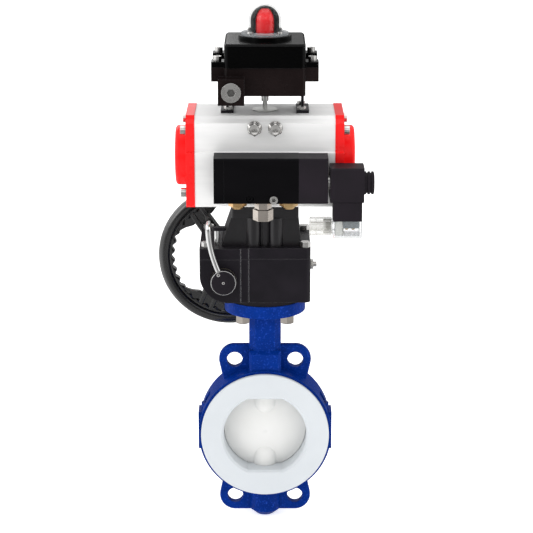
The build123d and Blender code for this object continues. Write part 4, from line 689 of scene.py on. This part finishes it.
# Solidify adds the rim faces in an order that changes from run to run, so the faces are put in order.
mask_order = sorted(mask_mesh.faces, key=lambda face: face.calc_center_median()[:])
mask_rank = {face: place for place, face in enumerate(mask_order)}
mask_mesh.faces.sort(key=mask_rank.get)
bmesh.ops.scale(mask_mesh, vec=(1 / MM, 1 / MM, 1 / MM), verts=mask_mesh.verts)
piece_from("indicator_mask", [mask_mesh], "box_black", "frame")


# ---------------------------------------------------------------- sleeve cap's trim

cap_low, cap_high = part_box("sleeve_cap")
cap_x, cap_z = (cap_low.x + cap_high.x) / 2, (cap_low.z + cap_high.z) / 2
cap_r = (cap_high.x - cap_low.x) / 2 / MM
piece_from(
    "cap_ring", [turned(tube_section(cap_r - 0.45, 0.4, 0.35, 1.0, 10), 72)], "chrome_rod", "clutch",
    (cap_x, cap_low.y + 0.0005, cap_z), (0, -1, 0),
)
for name, radius, x, z in (("cap_set_screw", 2.1, -5.4, 9.0), ("cap_centre", 1.7, 0, 0)):
    head = [(0.7, -0.6), (radius, -0.6), (radius, 0.1), (radius - 0.5, 0.35), (0.9, 0.35), (0.7, 0)]
    piece_from(
        name, [turned(head, 28)], "zinc_steel", "clutch",
        (cap_x + x * MM, cap_low.y + 0.0002, cap_z + z * MM), (0, -1, 0),
    )


# ---------------------------------------------------------------- declutch lever

lever_foot, lever_corner, lever_top, lever_tip = (
    Vector((cap_x / MM + x, LEVER_Y, cap_z / MM + z))
    for x, z in (LEVER_FOOT, LEVER_CORNER, LEVER_TOP, LEVER_TIP)
)
lever_tip.y += LEVER_TIP_LEAN
lever_path = []
for k in range(25):
    t = k / 24
    lever_path.append(lever_foot * (1 - t) ** 2 + lever_corner * 2 * t * (1 - t) + lever_top * t**2)
lever_elbow = Vector((lever_top.x, LEVER_Y, lever_tip.z - 0.5))
for k in range(1, 13):
    t = k / 12
    lever_path.append(lever_top * (1 - t) ** 2 + lever_elbow * 2 * t * (1 - t) + lever_tip * t**2)
lever = piece_from("declutch_lever_rod", [rod(lever_path, LEVER_R)], "chrome_rod", "clutch")
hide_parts("declutch_lever")


# ---------------------------------------------------------------- hexagon bolts


def bolts(name, node, places, facing, look, parts):
    """Replaces a node of bolts; each place is its head's foot, parts builds one bolt along local Z."""
    whole = []
    turn = Vector(facing).to_track_quat("Z", "Y").to_matrix().to_4x4()
    for place_at in places:
        for part in parts():
            bmesh.ops.transform(part, matrix=Matrix.Translation(place_at) @ turn, verts=part.verts)
            whole.append(part)
    made = piece_from(name, whole, look, "frame")
    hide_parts(node)


stop_low, stop_high = (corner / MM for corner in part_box("travel_stops"))
stop_x, stop_z = stop_high.x - 7.2 / cos(pi / 6), (stop_low.z + stop_high.z) / 2
stop_y = stop_low.y + STOP_HEAD_H


def travel_stop():
    """Shank, washer, lock nut and head."""
    return [disc(SHANK_R, -STOP_SHANK_L, 0.5), disc(7.9, 0, 1.2), hexagon(7.1, 1.2, 6), hexagon(6.3, 6, 11.9)]


def flange_bolt():
    """Shank, washer and head."""
    return [disc(SHANK_R, -FLANGE_BOLT_L, 0.5), disc(8.4, 0, 1.6), hexagon(7.4, 1.6, 10)]


bolts(
    "travel_stop_bolts", "travel_stops", [(stop_x, stop_y, stop_z), (-stop_x, stop_y, stop_z)],
    (0, -1, 0), "zinc_steel", travel_stop,
)
flange_z = (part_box("flange_bolts")[1] / MM).z - FLANGE_BOLT_L
bolts(
    "flange_hex_bolts", "flange_bolts",
    [(FLANGE_PCD_R * cos(radians(a)), FLANGE_PCD_R * sin(radians(a)), flange_z) for a in FLANGE_BOLT_ANGLES],
    (0, 0, -1), "bolt_steel", flange_bolt,
)


# ---------------------------------------------------------------- cable plug

plug_low, plug_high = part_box("din_housing")
nut_low, nut_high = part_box("gland_nut")
nut_y, nut_z = (nut_low.y + nut_high.y) / 2, (nut_low.z + nut_high.z) / 2
nut_length = (nut_high.x - nut_low.x) / MM


def flutes(radius, angle):
    """Grooves of a nut that is tightened by hand."""
    return radius - NUT_FLUTE_DEPTH * (0.5 + 0.5 * cos(NUT_FLUTES * angle)) * (radius > 9.8)


nut_profile = [
    (NUT_BORE_R, 0), (NUT_WAIST_R, 0), (NUT_R, 0.8), (NUT_R, 6), (NUT_WAIST_R, 6.6), (NUT_WAIST_R, 7.4),
    (NUT_R, 8), (NUT_R, nut_length - 0.6), (9.9, nut_length), (SPIGOT_HOLE_R, nut_length),
    (SPIGOT_HOLE_R, nut_length - SPIGOT_L), (NUT_BORE_R, nut_length - SPIGOT_L),
]
nut_piece = piece_from(
    "gland_nut_fluted", [turned(nut_profile, 156, flutes)],
    "milky_plastic", "frame", (nut_low.x, nut_y, nut_z), (1, 0, 0),
)
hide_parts("gland_nut")
piece_from(
    "gland_seal", [turned([(4.1, 0), (4.95, 0), (4.95, 5.2), (4.1, 5.2)], 40)],
    "seal_rubber", "frame", (nut_high.x - 0.0064, nut_y, nut_z), (1, 0, 0),
)
inner = [
    (plug_high.x / MM - PLUG_L + PLUG_END_WALL, plug_low.y / MM + PLUG_SIDE_WALL),
    (plug_high.x / MM - PLUG_END_WALL, plug_high.y / MM - PLUG_SIDE_WALL),
]
floor_z, roof_z = plug_low.z / MM + 2.2, plug_high.z / MM - 0.2
white_x = inner[0][0] + 7.6
piece_from(
    "contact_carrier",
    [rounded_box((inner[0][0], inner[0][1], floor_z), (white_x, inner[1][1], roof_z), 0.5)]
    + [rounded_box((inner[0][0] + 1, y, floor_z - 0.1), (white_x + 2, y + 4, floor_z + 4), 0.4)
       for y in (inner[0][1] + 1.5, inner[1][1] - 5.5)],
    "pale_plastic", "frame",
)
piece_from(
    "terminal_block",
    [rounded_box((white_x + 0.5, inner[0][1], roof_z - 8.6), (inner[1][0], inner[1][1], roof_z), 0.5)],
    "terminal_grey", "frame",
)
piece_from(
    "terminal_screws",
    [rounded_box((x, inner[0][1] + 3, roof_z - 10.8), (x + 3.4, inner[0][1] + 9, roof_z - 8.2), 0.4)
     for x in (white_x + 3, white_x + 10)],
    "brass", "frame",
)


# ---------------------------------------------------------------- solenoid block's blanking plug

block_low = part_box("valve_block")[0]
piece_from(
    "recess_plug", [turned([(0.6, -9), (4.2, -9), (4.2, 0), (3.6, 0.5), (1.2, 0.5), (0.6, -0.4)], 36)],
    "block_black", "frame", (RECESS_X, block_low.y + 0.002, RECESS_Z), (0, -1, 0),
)


# ---------------------------------------------------------------- studio


def area_light(name, place_at, aim, power, size, size_y):
    """A soft box that faces aim."""
    data = bpy.data.lights.new(name, "AREA")
    data.shape = "RECTANGLE"
    data.size = size
    data.size_y = size_y
    data.energy = power
    made = bpy.data.objects.new(name, data)
    scene.collection.objects.link(made)
    made.location = place_at
    made.rotation_mode = "QUATERNION"
    made.rotation_quaternion = (Vector(aim) - Vector(place_at)).to_track_quat("-Z", "Y")


area_light("key", (-1.5, -1.3, 1.2), (0, 0, 0.25), 6, 0.8, 1.5)
area_light("fill", (1.7, -1.1, 0.8), (0, 0, 0.2), 3.8, 0.7, 1.6)
area_light("front", (0, -2.6, 1.5), (0, 0, 0.2), 4, 2.2, 1.4)
area_light("top", (0.1, 0.2, 2.1), (0, 0, 0.2), 5.5, 1.4, 1.4)
area_light("back", (-0.6, 1.8, 1.2), (0, 0, 0.3), 5, 1.2, 1.2)

world = bpy.data.worlds.new("studio")
world.use_nodes = True
world_nodes, world_links = world.node_tree.nodes, world.node_tree.links
sky = world_nodes.new("ShaderNodeTexCoord")
sky_parts = world_nodes.new("ShaderNodeSeparateXYZ")
world_links.new(sky.outputs["Generated"], sky_parts.inputs["Vector"])
sideways = sky_parts.outputs["X"]
height = sky_parts.outputs["Z"]
bands = (
    spread(world_nodes, world_links, sideways, 0.90, 0.05, -0.8, -0.35),
    spread(world_nodes, world_links, sideways, 0.0, 0.45, 0.4, 0.8),
    spread(world_nodes, world_links, height, 0.0, 0.75, 0.02, 0.35),
    spread(world_nodes, world_links, height, 0.42, 0.0, -0.3, -0.05),
)
level = None
for band in bands:
    if level is None:
        level = band
        continue
    total = world_nodes.new("ShaderNodeMath")
    world_links.new(level, total.inputs[0])
    world_links.new(band, total.inputs[1])
    level = total.outputs[0]
world_links.new(level, world_nodes["Background"].inputs["Strength"])
world_nodes["Background"].inputs["Color"].default_value = (1, 1, 1, 1)
scene.world = world
scene.view_settings.view_transform = "Standard"
scene.view_settings.look = "None"

floor_mesh = bmesh.new()
bmesh.ops.create_circle(floor_mesh, cap_ends=True, radius=FLOOR_R, segments=96)
floor_data = bpy.data.meshes.new("studio_floor")
floor_mesh.to_mesh(floor_data)
floor_mesh.free()
floor = bpy.data.objects.new("studio_floor", floor_data)
scene.collection.objects.link(floor)
floor.location.z = cad_box[0].z - FLOOR_GAP
floor_look, floor_nodes, floor_links, floor_shader = new_material("studio_floor")
floor_grain = noise(floor_nodes, floor_links, place(floor_nodes, floor_links), 3)
floor_links.new(
    mixed(floor_nodes, floor_links, floor_grain, (0.93, 0.93, 0.93), (0.90, 0.90, 0.90)),
    floor_shader.inputs["Base Color"],
)
floor_shader.inputs["Roughness"].default_value = 0.9
floor_shader.inputs["Specular IOR Level"].default_value = 0.1
floor_shader.inputs["Emission Color"].default_value = (1, 1, 1, 1)
floor_shader.inputs["Emission Strength"].default_value = 0.62
floor_data.materials.append(floor_look)
floor.visible_glossy = False

camera_data = bpy.data.cameras.new("camera")
camera_data.sensor_width = SENSOR
camera_data.lens = LENS
camera = bpy.data.objects.new("camera", camera_data)
scene.collection.objects.link(camera)
rise = radians(CAMERA_ELEVATION)
camera.location = TARGET + CAMERA_DISTANCE * Vector((0, -cos(rise), sin(rise)))
camera.rotation_mode = "QUATERNION"
camera.rotation_quaternion = (TARGET - camera.location).to_track_quat("-Z", "Y")
scene.camera = camera
